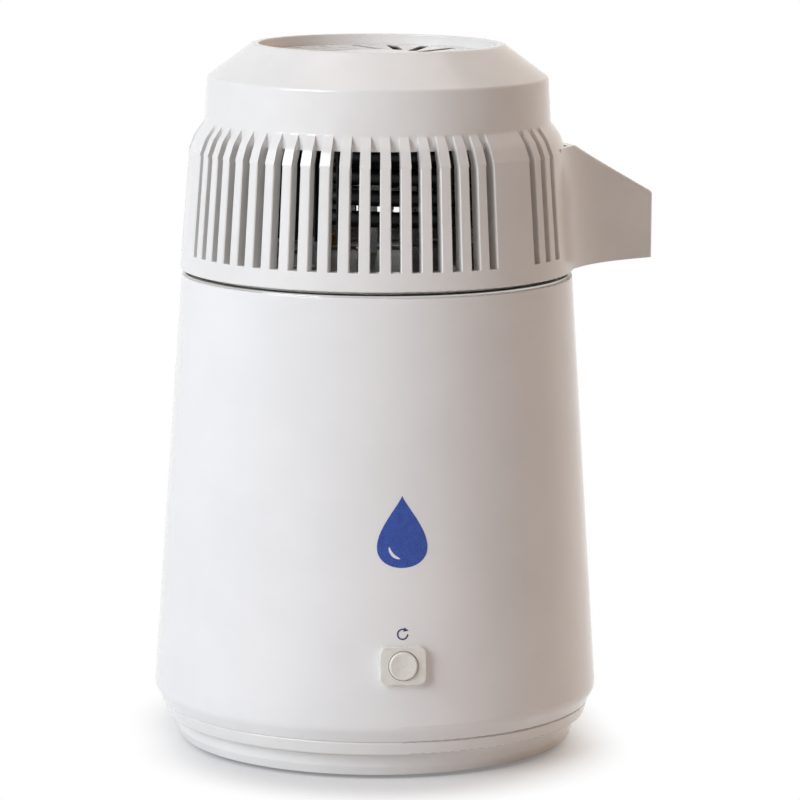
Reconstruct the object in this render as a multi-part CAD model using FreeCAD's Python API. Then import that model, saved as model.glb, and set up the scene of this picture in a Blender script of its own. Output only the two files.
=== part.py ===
import FreeCAD, Part
import math
import os

# Countertop air-cooled water distiller, in millimetres.
# The origin is on the worktop under the body's axis, +Z is up and -Y is the front with the
# reset button. Angles go round the axis from the front (-Y) towards +X. A lift-off head with
# fan and condenser stands on a tapered base that holds the boiling tank, heater and controls.

Vector = FreeCAD.Vector
ORIGIN = Vector(0, 0, 0)
UP = Vector(0, 0, 1)

# ---------------------------------------------------------------- clearances and fasteners
FIT_GAP = 0.2            # between pieces of one body that slide into each other
BODY_GAP = 0.3           # between pieces of different bodies
RUNNING_GAP = 0.05       # radial, shaft in its bearings
CUT_OVER = 2.0           # how far a cutting tool runs past a face
NO_LENGTH = 1e-6         # points nearer than this are one point
M3_R = 1.5
M4_R = 2.0
M5_R = 2.5
HOLE_OVER_SCREW = 0.15   # clearance hole's radius over the screw's
SCREW_SHORT = 1.5        # a screw ends this far before the end of its blind hole
THREAD_PROUD = 1.0       # a screw ends this far past its nut
SCREW_SLOT_WIDTH = 0.8
SCREW_SLOT_DEPTH = 0.9
EDGE_ROUND = 0.6         # along moulded edges
HOLE_REACH = 10.0        # openings in the shell are cut this far to each side of its surface
FLANGE_BURIED = 4.0      # flanges on the shell are drawn from this far inside it, then trimmed

# ---------------------------------------------------------------- base mouldings
FOOT_PROUD = 2.0         # rubber below the foot ring
PAN_HEIGHT = 12.0
PAN_INSET = 8.0          # foot ring inside the bead's edge
PAN_WALL = 3.0
PAN_TUCK = 1.6           # the foot ring draws in towards the worktop
PAN_TUCK_HEIGHT = 4.5
PAN_TUCK_ROUND = 3.0
AIR_SLOT_COUNT = 16
AIR_SLOT_WIDTH = 3.2
AIR_SLOT_LENGTH = 22.0
AIR_SLOT_RING_R = 26.0
TRIM_HEIGHT = 7.0
TRIM_TAPER = 2.0
TRIM_ROUND = 1.2
TRIM_LIP = 6.0           # upstand that centres the shell
TRIM_LIP_WALL = 2.4
TRIM_FLOOR = 2.4
SHELL_HEIGHT = 221.2
SHELL_WALL = 2.5
SHELL_TOP_R = 100.3
SHELL_WIDE_R = 114.6
SHELL_TUCK = 3.6         # drawn in at the lower edge, in line with the bead
SHELL_FOOT_HEIGHT = 7.0  # the tuck-in at the shell's lower edge
SHELL_EDGE_ROUND = 0.8

# ---------------------------------------------------------------- feet and pan screws
FOOT_COUNT = 4
FOOT_INSET = 19.0        # feet inside the pan's edge
FOOT_R = 8.0
FOOT_FIRST_ANGLE = 45.0
FOOT_ROUND = 1.2
FOOT_POCKET_R = 4.6
FOOT_POCKET_DEPTH = 4.0
FOOT_HEAD_R = 3.6
FOOT_HEAD_HEIGHT = 2.0
FOOT_BOSS_R = 4.5
FOOT_BOSS_HEIGHT = 8.0

# ---------------------------------------------------------------- boiling tank and heater
TANK_CLEARANCE = 12.8    # from the shell's outside at its top to the water
TANK_SHEET = 0.8
TANK_DEPTH = 167.2
TANK_CORNER = 9.0
TANK_LIP_ROUND = 0.4
TANK_FLANGE_INSET = 1.5  # flange inside the shell's outside
HEATER_INSET = 10.0      # heater plate inside the rods
HEATER_THICK = 5.0
ELEMENT_RING_R = 42.0
ELEMENT_R = 4.0
ELEMENT_SEAT = 0.8       # flat that is brazed to the heater plate
ELEMENT_SWEEP = 300.0
ELEMENT_FIRST_ANGLE = 30.0
ELEMENT_LEG = 9.0
TAB_R = 1.6
TAB_LENGTH = 9.0
ROD_COUNT = 3
ROD_INSET = 14.0         # rods inside the heat shield's edge
ROD_FIRST_ANGLE = 30.0
ROD_FOOT_R = 7.0
ROD_FOOT_THICK = 1.5
ROD_PROUD = 5.5          # rod end below the pan floor
NUT_M5_FLATS = 8.0
NUT_M5_HEIGHT = 4.0
SHIELD_INSET = 30.6      # from the shell's outside; clears the inlet's pins
SHIELD_SHEET = 0.8
SHIELD_DROP = 32.0       # below the tank's floor
SHIELD_WIRE_HOLE_R = 10.0
THERMOSTAT_CAP_R = 8.0
THERMOSTAT_CAP_HEIGHT = 4.0
THERMOSTAT_BODY_R = 6.5
THERMOSTAT_BODY_HEIGHT = 8.0
THERMOSTAT_SPACING = 30.0
STRAP_SHEET = 1.2
STRAP_WIDTH = 9.0
STRAP_REACH = 29.0
BLADE_WIDTH = 6.0
BLADE_THICK = 0.8
BLADE_LENGTH = 9.0
BLOCK_LENGTH = 38.0
BLOCK_WIDTH = 18.0
BLOCK_HEIGHT = 14.0
BLOCK_ANGLE = 215.0
BLOCK_RING_R = 45.0
BLOCK_POLES = 3
BLOCK_CORNER = 1.5
TERMINAL_HEAD_R = 2.8
TERMINAL_HEAD_HEIGHT = 2.0
TERMINAL_POCKET_OVER = 0.4
TERMINAL_POCKET_DEPTH = 4.0
TERMINAL_SCREW_LENGTH = 5.0

# ---------------------------------------------------------------- reset control on the front
RESET_HEIGHT = 60.6
BEZEL_WIDTH = 23.5
BEZEL_HEIGHT = 19.5
BEZEL_CORNER = 4.0
BEZEL_PROUD = 3.0
BEZEL_EDGE = 0.8
BEZEL_NECK_R = 9.2       # round neck through the shell
BEZEL_NECK_DEPTH = 11.0
BUTTON_R = 7.2
BUTTON_PROUD = 1.4       # in front of the bezel's face
BUTTON_EDGE = 1.0
BUTTON_DISH = 0.6        # hollow of its face
BUTTON_CAP_LENGTH = 9.0
BUTTON_COLLAR = 0.7      # rim that keeps the button in its bore
BUTTON_COLLAR_LENGTH = 1.0
BUTTON_STEM_R = 2.2
BUTTON_STEM_LENGTH = 9.0
BUTTON_TRAVEL = 2.0
SPRING_R = 4.2
SPRING_WIRE_R = 0.4
SPRING_HALF_TURNS = 7
SWITCH_DEPTH = 15.0
SWITCH_SIDE = 16.0

# ---------------------------------------------------------------- mains inlet and fan socket
INLET_HEIGHT = 48.0
INLET_FLANGE_WIDTH = 50.0
INLET_FLANGE_HEIGHT = 24.0
INLET_FLANGE_PROUD = 2.6
INLET_FLANGE_CORNER = 3.0
INLET_BODY_WIDTH = 28.0
INLET_BODY_HEIGHT = 20.0
INLET_BODY_DEPTH = 20.0
INLET_MOUTH_WIDTH = 24.4
INLET_MOUTH_HEIGHT = 16.4
INLET_MOUTH_DEPTH = 16.0
INLET_MOUTH_BEVEL = 4.5
INLET_SCREW_SPACING = 40.0
INLET_HEAD_R = 2.8
INLET_HEAD_HEIGHT = 1.6
INLET_SCREW_LENGTH = 7.0
PIN_WIDTH = 2.0
PIN_HEIGHT = 4.0
PIN_LENGTH = 12.0
PIN_TAIL = 7.0
PIN_SPACING = 14.0
PIN_EARTH_OFFSET = 4.0
SOCKET_DROP = 42.2       # outlet's middle below the shell's top
SOCKET_FLANGE_R = 12.0
SOCKET_FLANGE_PROUD = 1.6
SOCKET_BODY_R = 9.0
SOCKET_BODY_DEPTH = 10.0
SOCKET_BACK_WALL = 1.0
SOCKET_HOLE_R = 2.1
SOCKET_HOLE_SPACING = 8.0
SLEEVE_WALL = 0.7
SLEEVE_LENGTH = 7.0

# ---------------------------------------------------------------- head moulding
HEAD_GAP = 2.0           # dark seam between tank flange and head
RING_HEIGHT = 61.5
RING_OVER_SHELL = 0.7    # the head stands this far over the shell's top
RING_LEAN = 4.8
RING_WALL = 6.5          # depth of the vertical ribs
BAND_WALL = 2.8
BAND_HEIGHT = 9.4        # plain band below the slots
SLOT_FLOOR = 2.0         # thickness under the slots
FLOOR_STEP = 1.0         # height of the slope from the band's wall to the ribs' depth
RING_TOP_ROUND = 2.0
SHOULDER_HEIGHT = 14.0
SHOULDER_BULGE = 1.1
SHOULDER_ROUND = 12.0
NECK_FOOT_ROUND = 2.5
NECK_HEIGHT = 22.5
NECK_STEP = 7.8          # from the ribs in to the neck
NECK_LEAN = 1.2
NECK_WALL = 2.5
NECK_EDGE = 2.0
BEVEL_HEIGHT = 17.0
BEVEL_WIDTH = 23.0
RIM_ROUND = 2.6
RIM_WIDTH = 3.2
RECESS_DEPTH = 8.5
LEDGE_WIDTH = 4.0
DECK_WALL = 2.5
DUCT_WALL = 2.0
DUCT_HEIGHT = 27.0

SLOT_PITCHES = 60        # slot positions round the ring
SLOT_START = -1.6        # degrees from the front to the first slot
SLOT_WIDTH = 4.7
SLOT_TOP = 7.5           # the slot's open part ends this far below the neck's foot
SLOT_EDGE = 0.5          # chamfer along the ribs
GROOVE_BITE = 0.1        # the grooves' depth into the neck
GROOVE_RISE = 0.5        # their top above the neck's foot
POST_POSITIONS = (6.5, 26.5, 46.5)   # screw posts, in slot pitches from the first slot
POST_INSET = 17.2        # posts inside the ring's top
POST_R = 4.0
POST_WEB = 3.0
POST_SCREW_DEPTH = 14.0
WEB_BITE = 1.0           # how far the post's web runs into the ribs

SPOUT_ANGLE = 105.0
SPOUT_BEYOND_CUP = 19.0  # spout's end beyond the cup's axis
SPOUT_TIP_HALF = 23.0
SPOUT_TAPER = 15.0       # degrees that each side closes towards the tip
SPOUT_ROOT_ANGLE = 37.0  # the side walls leave the ring this far from the spout's middle
SPOUT_LIFT = 1.5         # underside above the ring's lower edge
SPOUT_TIP_HEIGHT = 34.0
SPOUT_WALL = 2.5
SPOUT_CORNER = 4.0
SPOUT_TOP_ROUND = 2.0
SPOUT_TOP_STRAY = 0.05   # edges this near the top's plane belong to it

# ---------------------------------------------------------------- filter cup in the spout
CUP_BEYOND_RING = 30.8   # cup's axis beyond the ring's top
CUP_R = 12.8
CUP_WALL = 1.5
CUP_FLOOR = 2.5
CUP_HEIGHT = 19.0
CUP_FLANGE_OVER = 1.6
CUP_FLANGE_THICK = 1.3
NOZZLE_R = 4.4
NOZZLE_BORE_R = 2.8
NOZZLE_DROP = 1.5
SACHET_HEIGHT = 9.5
SACHET_ROUND = 3.0

# ---------------------------------------------------------------- grille over the fan
GRILLE_THICK = 3.2
GRILLE_SLOTS = 18
GRILLE_SLOT_WIDTH = 5.0
GRILLE_SLOT_INNER_R = 21.5
GRILLE_SLOT_MARGIN = 5.5 # slots' outer ends inside the recess
GRILLE_SKEW = 20.0       # degrees that each slot leans from the radius
GRILLE_HUB_R = 16.0
GRILLE_HUB_PROUD = 0.8
GRILLE_HUB_SLOPE = 1.5   # width of the slope round the hub

# ---------------------------------------------------------------- lid plate, gasket and condenser
LID_PLATE_SHEET = 1.0
LID_PLATE_INSET = 2.2    # inside the tank's flange
LID_PLATE_LIFT = 1.2     # above the head's lower edge
LID_RIB_R = 57.0
LID_RIB_SECTION = 1.5
LID_HEAD_R = 3.4
LID_HEAD_HEIGHT = 2.2
GASKET_INSET = 3.3       # inside the tank's flange
GASKET_TONGUE = 4.0      # how far the gasket reaches down into the tank
GASKET_TONGUE_WALL = 2.5
TUBE_R = 4.0
TUBE_WALL = 0.6
COIL_INSET = 13.0        # coil inside the screw posts
COIL_HALF_TURNS = 7
COIL_PITCH = 10.57
COIL_BOTTOM = 31.0       # above the head's lower edge
COIL_END_GAP = 0.5
RISER_OFFSET = 40.0      # riser's distance from the coil's start, along the tangent
BEND_R = 11.0
OUTLET_ABOVE_CUP = 1.5
OUTLET_STRAIGHT = 0.5    # straight end below the outlet's bend
RISER_BELOW_LID = 0.5
FITTING_WALL = 2.2
FITTING_GAP = 0.45       # leaves room for the coil's bend inside the sleeve
FITTING_LENGTH = 11.0
RISER_NUT_HEIGHT = 6.0
RISER_NUT_FLATS = 14.0
FIN_COUNT = 40
FIN_DEPTH = 18.0
FIN_SHEET = 0.6
FIN_BELOW_COIL = 10.0
FIN_ABOVE_COIL = 4.0
FIN_HOLE_GAP = 0.3
FIN_CLEARANCE = 2.0      # beside the tubes, their sleeves and the posts

# ---------------------------------------------------------------- fan motor and impeller
BRACKET_SHEET = 1.5
BRACKET_HEIGHT = 34.8    # underside of the motor's plate above the lid plate
BRACKET_R = 34.0
BRACKET_LEGS = 3
BRACKET_FIRST_ANGLE = 60.0
BRACKET_LEG_R = 40.0
BRACKET_LEG_WIDTH = 10.0
BRACKET_FOOT = 12.0
BRACKET_ARM_OVERLAP = 3.0
STUD_LENGTH = 6.5
NUT_M3_FLATS = 5.5
NUT_M3_HEIGHT = 2.4
SHAFT_R = 2.0
CORE_LIFT = 6.5          # core above the bracket's plate
CORE_HEIGHT = 16.0
CORE_WIDTH = 48.0
CORE_FRONT = 18.0
CORE_BACK = 34.0
CORE_WINDOW_WIDTH = 30.0
CORE_LEG = 8.0
CORE_WEB = 3.5
ROTOR_R = 12.9
ROTOR_AIR_GAP = 0.4
WINDING_OVER = 5.0
WINDING_WIDTH = 26.0
WINDING_GAP = 0.1
BRIDGE_SHEET = 2.5
BRIDGE_WIDTH = 12.0
BRIDGE_RISE = 3.5
BRIDGE_POST_WIDTH = 8.0
BEARING_R = 6.0
BEARING_HEIGHT = 5.0
MOTOR_SCREW_X = 20.0
MOTOR_HEAD_R = 2.8
MOTOR_HEAD_HEIGHT = 2.0
IMPELLER_GAP = 2.5       # blade tips to the duct
IMPELLER_HEIGHT = 20.0
IMPELLER_DROP = 8.5      # top of the hub below the grille
HUB_R = 16.0
HUB_WALL = 2.0
HUB_BOSS_R = 5.0
HUB_ROUND = 1.5
VANE_COUNT = 7
VANE_SHEET = 2.0
VANE_PITCH = 38.0
VANE_RISE = 17.0         # height that a vane covers
VANE_CORNER = 4.0
SHAFT_PROUD = 3.5
HUB_NUT_HEIGHT = 3.0
GROMMET_R = 5.0
GROMMET_BORE_R = 2.6
GROMMET_LIP = 1.2
GROMMET_ABOVE_NECK_FOOT = 11.0

# ---------------------------------------------------------------- radii and levels worked out from them
SHELL_FOOT_R = SHELL_WIDE_R - SHELL_TUCK
TRIM_R = SHELL_FOOT_R
TRIM_BOTTOM_R = TRIM_R - TRIM_TAPER
PAN_R = TRIM_R - PAN_INSET
FOOT_RING_R = PAN_R - FOOT_INSET
SHIELD_R = SHELL_WIDE_R - SHIELD_INSET
TANK_INNER_R = SHELL_TOP_R - TANK_CLEARANCE
TANK_FLANGE_R = SHELL_TOP_R - TANK_FLANGE_INSET
ROD_RING_R = SHIELD_R - ROD_INSET
HEATER_R = ROD_RING_R - HEATER_INSET
LID_PLATE_R = TANK_FLANGE_R - LID_PLATE_INSET
GASKET_SEAT_R = TANK_FLANGE_R - GASKET_INSET
RING_FOOT_R = SHELL_TOP_R + RING_OVER_SHELL
RING_TOP_R = RING_FOOT_R - RING_LEAN
NECK_FOOT_R = RING_TOP_R - NECK_STEP
NECK_TOP_R = NECK_FOOT_R - NECK_LEAN
RIM_R = NECK_TOP_R - BEVEL_WIDTH
RECESS_R = RIM_R - RIM_WIDTH
GRILLE_SLOT_OUTER_R = RECESS_R - GRILLE_SLOT_MARGIN
POST_RING_R = RING_TOP_R - POST_INSET
COIL_R = POST_RING_R - COIL_INSET
CUP_RING_R = RING_TOP_R + CUP_BEYOND_RING
SPOUT_REACH = CUP_RING_R + SPOUT_BEYOND_CUP
PAN_Z = FOOT_PROUD
TRIM_Z = PAN_Z + PAN_HEIGHT
SHELL_Z = TRIM_Z + TRIM_HEIGHT
SHELL_WIDE_Z = SHELL_Z + SHELL_FOOT_HEIGHT
FLANGE_Z = SHELL_Z + SHELL_HEIGHT
HEAD_Z = FLANGE_Z + TANK_SHEET + HEAD_GAP
RING_TOP_Z = HEAD_Z + RING_HEIGHT
NECK_Z = RING_TOP_Z + SHOULDER_HEIGHT
NECK_TOP_Z = NECK_Z + NECK_HEIGHT
RIM_Z = NECK_TOP_Z + BEVEL_HEIGHT
LEDGE_Z = RIM_Z - RECESS_DEPTH
PAN_FLOOR_Z = TRIM_Z - PAN_WALL
TANK_FLOOR_Z = FLANGE_Z + TANK_SHEET - TANK_DEPTH
TANK_OUTER_R = TANK_INNER_R + TANK_SHEET
LID_Z = HEAD_Z + LID_PLATE_LIFT
LID_TOP_Z = LID_Z + LID_PLATE_SHEET
SLOT_Z = HEAD_Z + BAND_HEIGHT
SLOT_TOP_Z = NECK_Z - SLOT_TOP
SLOT_PITCH = 360.0 / SLOT_PITCHES
DUCT_R = RECESS_R - LEDGE_WIDTH
SPOUT_Z = HEAD_Z + SPOUT_LIFT
CUP_FLANGE_Z = SPOUT_Z - BODY_GAP - CUP_FLANGE_THICK
CUP_TOP_Z = CUP_FLANGE_Z + CUP_HEIGHT
COIL_Z = HEAD_Z + COIL_BOTTOM
COIL_RISE = COIL_PITCH * COIL_HALF_TURNS / 2
COIL_TOP_Z = COIL_Z + COIL_RISE
COIL_END_ANGLE = SPOUT_ANGLE - math.degrees(math.acos(COIL_R / CUP_RING_R))
COIL_START_ANGLE = COIL_END_ANGLE - 180.0 * COIL_HALF_TURNS
BRACKET_Z = LID_TOP_Z + BRACKET_HEIGHT
CORE_Z = BRACKET_Z + BRACKET_SHEET + CORE_LIFT
CORE_TOP_Z = CORE_Z + CORE_HEIGHT
HUB_TOP_Z = LEDGE_Z - IMPELLER_DROP
SOCKET_Z = FLANGE_Z - SOCKET_DROP
SHELL_TILT = math.degrees(math.atan2(SHELL_WIDE_R - SHELL_TOP_R, FLANGE_Z - SHELL_WIDE_Z))


def blend(z, z_low, low, z_high, high):
    """Value at a height on the straight line between two levels."""
    return low + (high - low) * (z - z_low) / (z_high - z_low)


def shell_r(z):
    return blend(z, SHELL_WIDE_Z, SHELL_WIDE_R, FLANGE_Z, SHELL_TOP_R)


def ring_r(z):
    return blend(z, HEAD_Z, RING_FOOT_R, RING_TOP_Z, RING_TOP_R)


def neck_r(z):
    return blend(z, NECK_Z, NECK_FOOT_R, NECK_TOP_Z, NECK_TOP_R)


# ---------------------------------------------------------------- building blocks
def rounded_wire(corners, place):
    """Closed outline through (u, v, radius) corners; place turns (u, v) into a point."""
    count = len(corners)
    edges = []
    last_point = None
    first_point = None
    for index in range(count):
        u, v, radius = corners[index]
        corner = Vector(u, v, 0)
        if radius > 0:
            before = Vector(*corners[index - 1][:2], 0)
            after = Vector(*corners[(index + 1) % count][:2], 0)
            towards_before = (before - corner).normalize()
            towards_after = (after - corner).normalize()
            half = towards_before.getAngle(towards_after) / 2
            inward = (towards_before + towards_after).normalize()
            start = corner + towards_before * (radius / math.tan(half))
            end = corner + towards_after * (radius / math.tan(half))
            middle = corner + inward * (radius / math.sin(half) - radius)
            arc = Part.Arc(place(start), place(middle), place(end)).toShape()
        else:
            start = corner
            end = corner
            arc = None
        if last_point is not None and (start - last_point).Length > NO_LENGTH:
            edges.append(Part.LineSegment(place(last_point), place(start)).toShape())
        if arc is not None:
            edges.append(arc)
        if first_point is None:
            first_point = start
        last_point = end
    if (first_point - last_point).Length > NO_LENGTH:
        edges.append(Part.LineSegment(place(last_point), place(first_point)).toShape())
    return Part.Wire(edges)


def turned(corners):
    """Solid of revolution from (r, z, corner radius) corners."""
    wire = rounded_wire(corners, lambda p: Vector(p.x, 0, p.y))
    return Part.Face(wire).revolve(ORIGIN, UP, 360)


def plate(corners, z, thick):
    """Flat plate from (x, y, corner radius) corners."""
    wire = rounded_wire(corners, lambda p: Vector(p.x, p.y, z))
    return Part.Face(wire).extrude(Vector(0, 0, thick))


def rectangle(width, height, corner=0.0):
    """Corners of a rectangle about the origin."""
    half_w = width / 2
    half_h = height / 2
    return [(-half_w, -half_h, corner), (half_w, -half_h, corner),
            (half_w, half_h, corner), (-half_w, half_h, corner)]


def coil_path(radius, rise, half_turns):
    """Half circles tilted one way and then the other, so that each runs smoothly into the next."""
    step = rise / half_turns
    edges = []
    for index in range(half_turns):
        side = 1 if index % 2 == 0 else -1
        start = Vector(side * radius, 0, step * index)
        end = Vector(-side * radius, 0, step * (index + 1))
        middle = (start + end) / 2 - Vector(0, side * start.distanceToPoint(end) / 2, 0)
        edges.append(Part.Arc(start, middle, end).toShape())
    return Part.Wire(edges)


def cylinder(radius, z_low, z_high, x=0.0, y=0.0):
    return Part.makeCylinder(radius, z_high - z_low, Vector(x, y, z_low))


def tube(inner, outer, z_low, z_high, x=0.0, y=0.0):
    wall = cylinder(outer, z_low, z_high, x, y)
    return wall.cut(cylinder(inner, z_low - CUT_OVER, z_high + CUT_OVER, x, y))


def block(x_low, x_high, y_low, y_high, z_low, z_high):
    corner = Vector(x_low, y_low, z_low)
    return Part.makeBox(x_high - x_low, y_high - y_low, z_high - z_low, corner)


def nut(flats, hole_r, z_low, height, x=0.0, y=0.0):
    """Hexagon nut standing at z_low."""
    corner_r = flats / math.sqrt(3)
    corners = []
    for index in range(6):
        angle = math.radians(60 * index)
        corners.append((x + corner_r * math.cos(angle), y + corner_r * math.sin(angle), 0))
    hexagon = plate(corners, z_low, height)
    return hexagon.cut(cylinder(hole_r, z_low - CUT_OVER, z_low + height + CUT_OVER, x, y))


def screw(shank_r, head_r, head_height, seat_z, tip_z, x=0.0, y=0.0):
    """Slotted screw; its tip lies below or above the seat of its head."""
    away = math.copysign(1.0, seat_z - tip_z)
    top_z = seat_z + away * head_height
    slot_z = top_z - away * SCREW_SLOT_DEPTH
    over_z = top_z + away * CUT_OVER
    half = SCREW_SLOT_WIDTH / 2
    shank = cylinder(shank_r, min(seat_z, tip_z), max(seat_z, tip_z), x, y)
    head = cylinder(head_r, min(seat_z, top_z), max(seat_z, top_z), x, y)
    slot = block(x - head_r - CUT_OVER, x + head_r + CUT_OVER, y - half, y + half,
                 min(slot_z, over_z), max(slot_z, over_z))
    return joined(head, shank).cut(slot)


def spun(shape, angle):
    """Copy turned about the body's axis."""
    copy = shape.copy()
    copy.rotate(ORIGIN, UP, angle)
    return copy


def around(shape, angles):
    return [spun(shape, angle) for angle in angles]


def even_angles(count, first=0.0):
    return [first + 360.0 * index / count for index in range(count)]


def on_shell(shape, angle, height):
    """Put a shape drawn as (right, up, outward) on the outer shell's surface."""
    copy = shape.copy()
    copy.rotate(ORIGIN, Vector(1, 0, 0), 90 - SHELL_TILT)
    copy.translate(Vector(0, -shell_r(height), height))
    return spun(copy, angle)


def polar(radius, angle, z=0.0):
    turn = math.radians(angle)
    return Vector(radius * math.sin(turn), -radius * math.cos(turn), z)


def joined(first, *others):
    return first.multiFuse(list(others)).removeSplitter()


def save(name, *shapes):
    """Write one sub-part; several solids become one group."""
    solids = [solid for shape in shapes for solid in shape.Solids]
    group = solids[0] if len(solids) == 1 else Part.makeCompound(solids)
    if not all(solid.isValid() for solid in solids):
        raise ValueError(name + " isn't valid")
    group.exportStep("parts/" + name + ".step")


# ---------------------------------------------------------------- base mouldings
def make_base_pan():
    """White tray: foot ring, floor with air slots, and bosses for the feet's screws."""
    inner_r = PAN_R - PAN_WALL
    tray = turned([
        (0, PAN_FLOOR_Z, 0), (inner_r, PAN_FLOOR_Z, EDGE_ROUND), (inner_r, PAN_Z, EDGE_ROUND),
        (PAN_R - PAN_TUCK, PAN_Z, EDGE_ROUND), (PAN_R, PAN_Z + PAN_TUCK_HEIGHT, PAN_TUCK_ROUND),
        (PAN_R, TRIM_Z, EDGE_ROUND), (0, TRIM_Z, 0)])
    boss = cylinder(FOOT_BOSS_R, TRIM_Z, TRIM_Z + FOOT_BOSS_HEIGHT, 0, -FOOT_RING_R)
    tray = joined(tray, *around(boss, even_angles(FOOT_COUNT, FOOT_FIRST_ANGLE)))
    foot_hole = cylinder(M3_R + RUNNING_GAP, PAN_Z, TRIM_Z + FOOT_BOSS_HEIGHT + CUT_OVER, 0, -FOOT_RING_R)
    rod_hole = cylinder(M5_R + HOLE_OVER_SCREW, PAN_Z, TRIM_Z + CUT_OVER, 0, -ROD_RING_R)
    air_slot = plate(rectangle(AIR_SLOT_WIDTH, AIR_SLOT_LENGTH, AIR_SLOT_WIDTH / 2),
                     PAN_FLOOR_Z - CUT_OVER, PAN_WALL + 2 * CUT_OVER)
    air_slot.translate(Vector(0, -AIR_SLOT_RING_R, 0))
    holes = around(foot_hole, even_angles(FOOT_COUNT, FOOT_FIRST_ANGLE))
    holes += around(rod_hole, even_angles(ROD_COUNT, ROD_FIRST_ANGLE))
    holes += around(air_slot, even_angles(AIR_SLOT_COUNT))
    return tray.cut(Part.makeCompound(holes))


def make_rubber_feet():
    foot = turned([
        (0, 0, 0), (FOOT_R, 0, FOOT_ROUND), (FOOT_R, PAN_FLOOR_Z, 0), (0, PAN_FLOOR_Z, 0)])
    foot.translate(Vector(0, -FOOT_RING_R, 0))
    foot = foot.cut(cylinder(FOOT_POCKET_R, -CUT_OVER, FOOT_POCKET_DEPTH, 0, -FOOT_RING_R))
    foot = foot.cut(cylinder(M3_R + RUNNING_GAP, 0, PAN_FLOOR_Z + CUT_OVER, 0, -FOOT_RING_R))
    return around(foot, even_angles(FOOT_COUNT, FOOT_FIRST_ANGLE))


def make_foot_screws():
    tip_z = TRIM_Z + FOOT_BOSS_HEIGHT - SCREW_SHORT
    one = screw(M3_R, FOOT_HEAD_R, FOOT_HEAD_HEIGHT, FOOT_POCKET_DEPTH, tip_z, 0, -FOOT_RING_R)
    return around(one, even_angles(FOOT_COUNT, FOOT_FIRST_ANGLE))


def make_trim_ring():
    """Bead between foot ring and shell, with an upstand that centres the shell."""
    lip_r = SHELL_FOOT_R - SHELL_WALL - FIT_GAP
    inner_r = PAN_R - 2 * PAN_WALL
    return turned([
        (inner_r, TRIM_Z, 0), (TRIM_BOTTOM_R, TRIM_Z, TRIM_ROUND), (TRIM_R, SHELL_Z, SHELL_EDGE_ROUND),
        (lip_r, SHELL_Z, 0), (lip_r, SHELL_Z + TRIM_LIP, EDGE_ROUND),
        (lip_r - TRIM_LIP_WALL, SHELL_Z + TRIM_LIP, 0), (lip_r - TRIM_LIP_WALL, TRIM_Z + TRIM_FLOOR, 0),
        (inner_r, TRIM_Z + TRIM_FLOOR, 0)])


def shell_envelope():
    """The space inside the shell's outer surface, for trimming what lies on it."""
    return turned([
        (0, SHELL_WIDE_Z, 0), (SHELL_WIDE_R, SHELL_WIDE_Z, 0), (SHELL_TOP_R, FLANGE_Z, 0), (0, FLANGE_Z, 0)])


def make_outer_shell():
    """Tapered cover with openings for the reset control, mains inlet and fan socket."""
    wall = SHELL_WALL / math.cos(math.radians(SHELL_TILT))
    shell = turned([
        (SHELL_FOOT_R - SHELL_WALL, SHELL_Z, 0), (SHELL_FOOT_R, SHELL_Z, SHELL_EDGE_ROUND),
        (SHELL_WIDE_R, SHELL_WIDE_Z, SHELL_FOOT_HEIGHT), (SHELL_TOP_R, FLANGE_Z, SHELL_EDGE_ROUND),
        (SHELL_TOP_R - wall, FLANGE_Z, 0),
        (SHELL_WIDE_R - wall, SHELL_WIDE_Z, SHELL_FOOT_HEIGHT - SHELL_WALL)])
    neck_hole = cylinder(BEZEL_NECK_R + FIT_GAP, -HOLE_REACH, HOLE_REACH)
    inlet_hole = plate(rectangle(INLET_BODY_WIDTH + 2 * FIT_GAP, INLET_BODY_HEIGHT + 2 * FIT_GAP),
                       -HOLE_REACH, 2 * HOLE_REACH)
    screw_hole = cylinder(M3_R + RUNNING_GAP, -HOLE_REACH, HOLE_REACH)
    socket_hole = cylinder(SOCKET_BODY_R + FIT_GAP, -HOLE_REACH, HOLE_REACH)
    cuts = [on_shell(neck_hole, 0, RESET_HEIGHT), on_shell(inlet_hole, 180, INLET_HEIGHT),
            on_shell(socket_hole, 180, SOCKET_Z)]
    for side in (-1, 1):
        hole = screw_hole.copy()
        hole.translate(Vector(side * INLET_SCREW_SPACING / 2, 0, 0))
        cuts.append(on_shell(hole, 180, INLET_HEIGHT))
    return shell.cut(Part.makeCompound(cuts))


# ---------------------------------------------------------------- tank, heater and wiring parts
def make_boiling_tank():
    floor_top = TANK_FLOOR_Z + TANK_SHEET
    flange_top = FLANGE_Z + TANK_SHEET
    return turned([
        (0, TANK_FLOOR_Z, 0), (TANK_OUTER_R, TANK_FLOOR_Z, TANK_CORNER + TANK_SHEET),
        (TANK_OUTER_R, FLANGE_Z, TANK_LIP_ROUND), (TANK_FLANGE_R, FLANGE_Z, 0),
        (TANK_FLANGE_R, flange_top, 0), (TANK_INNER_R, flange_top, TANK_LIP_ROUND + TANK_SHEET),
        (TANK_INNER_R, floor_top, TANK_CORNER), (0, floor_top, 0)])


def make_heater_plate():
    return cylinder(HEATER_R, TANK_FLOOR_Z - HEATER_THICK, TANK_FLOOR_Z)


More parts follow.
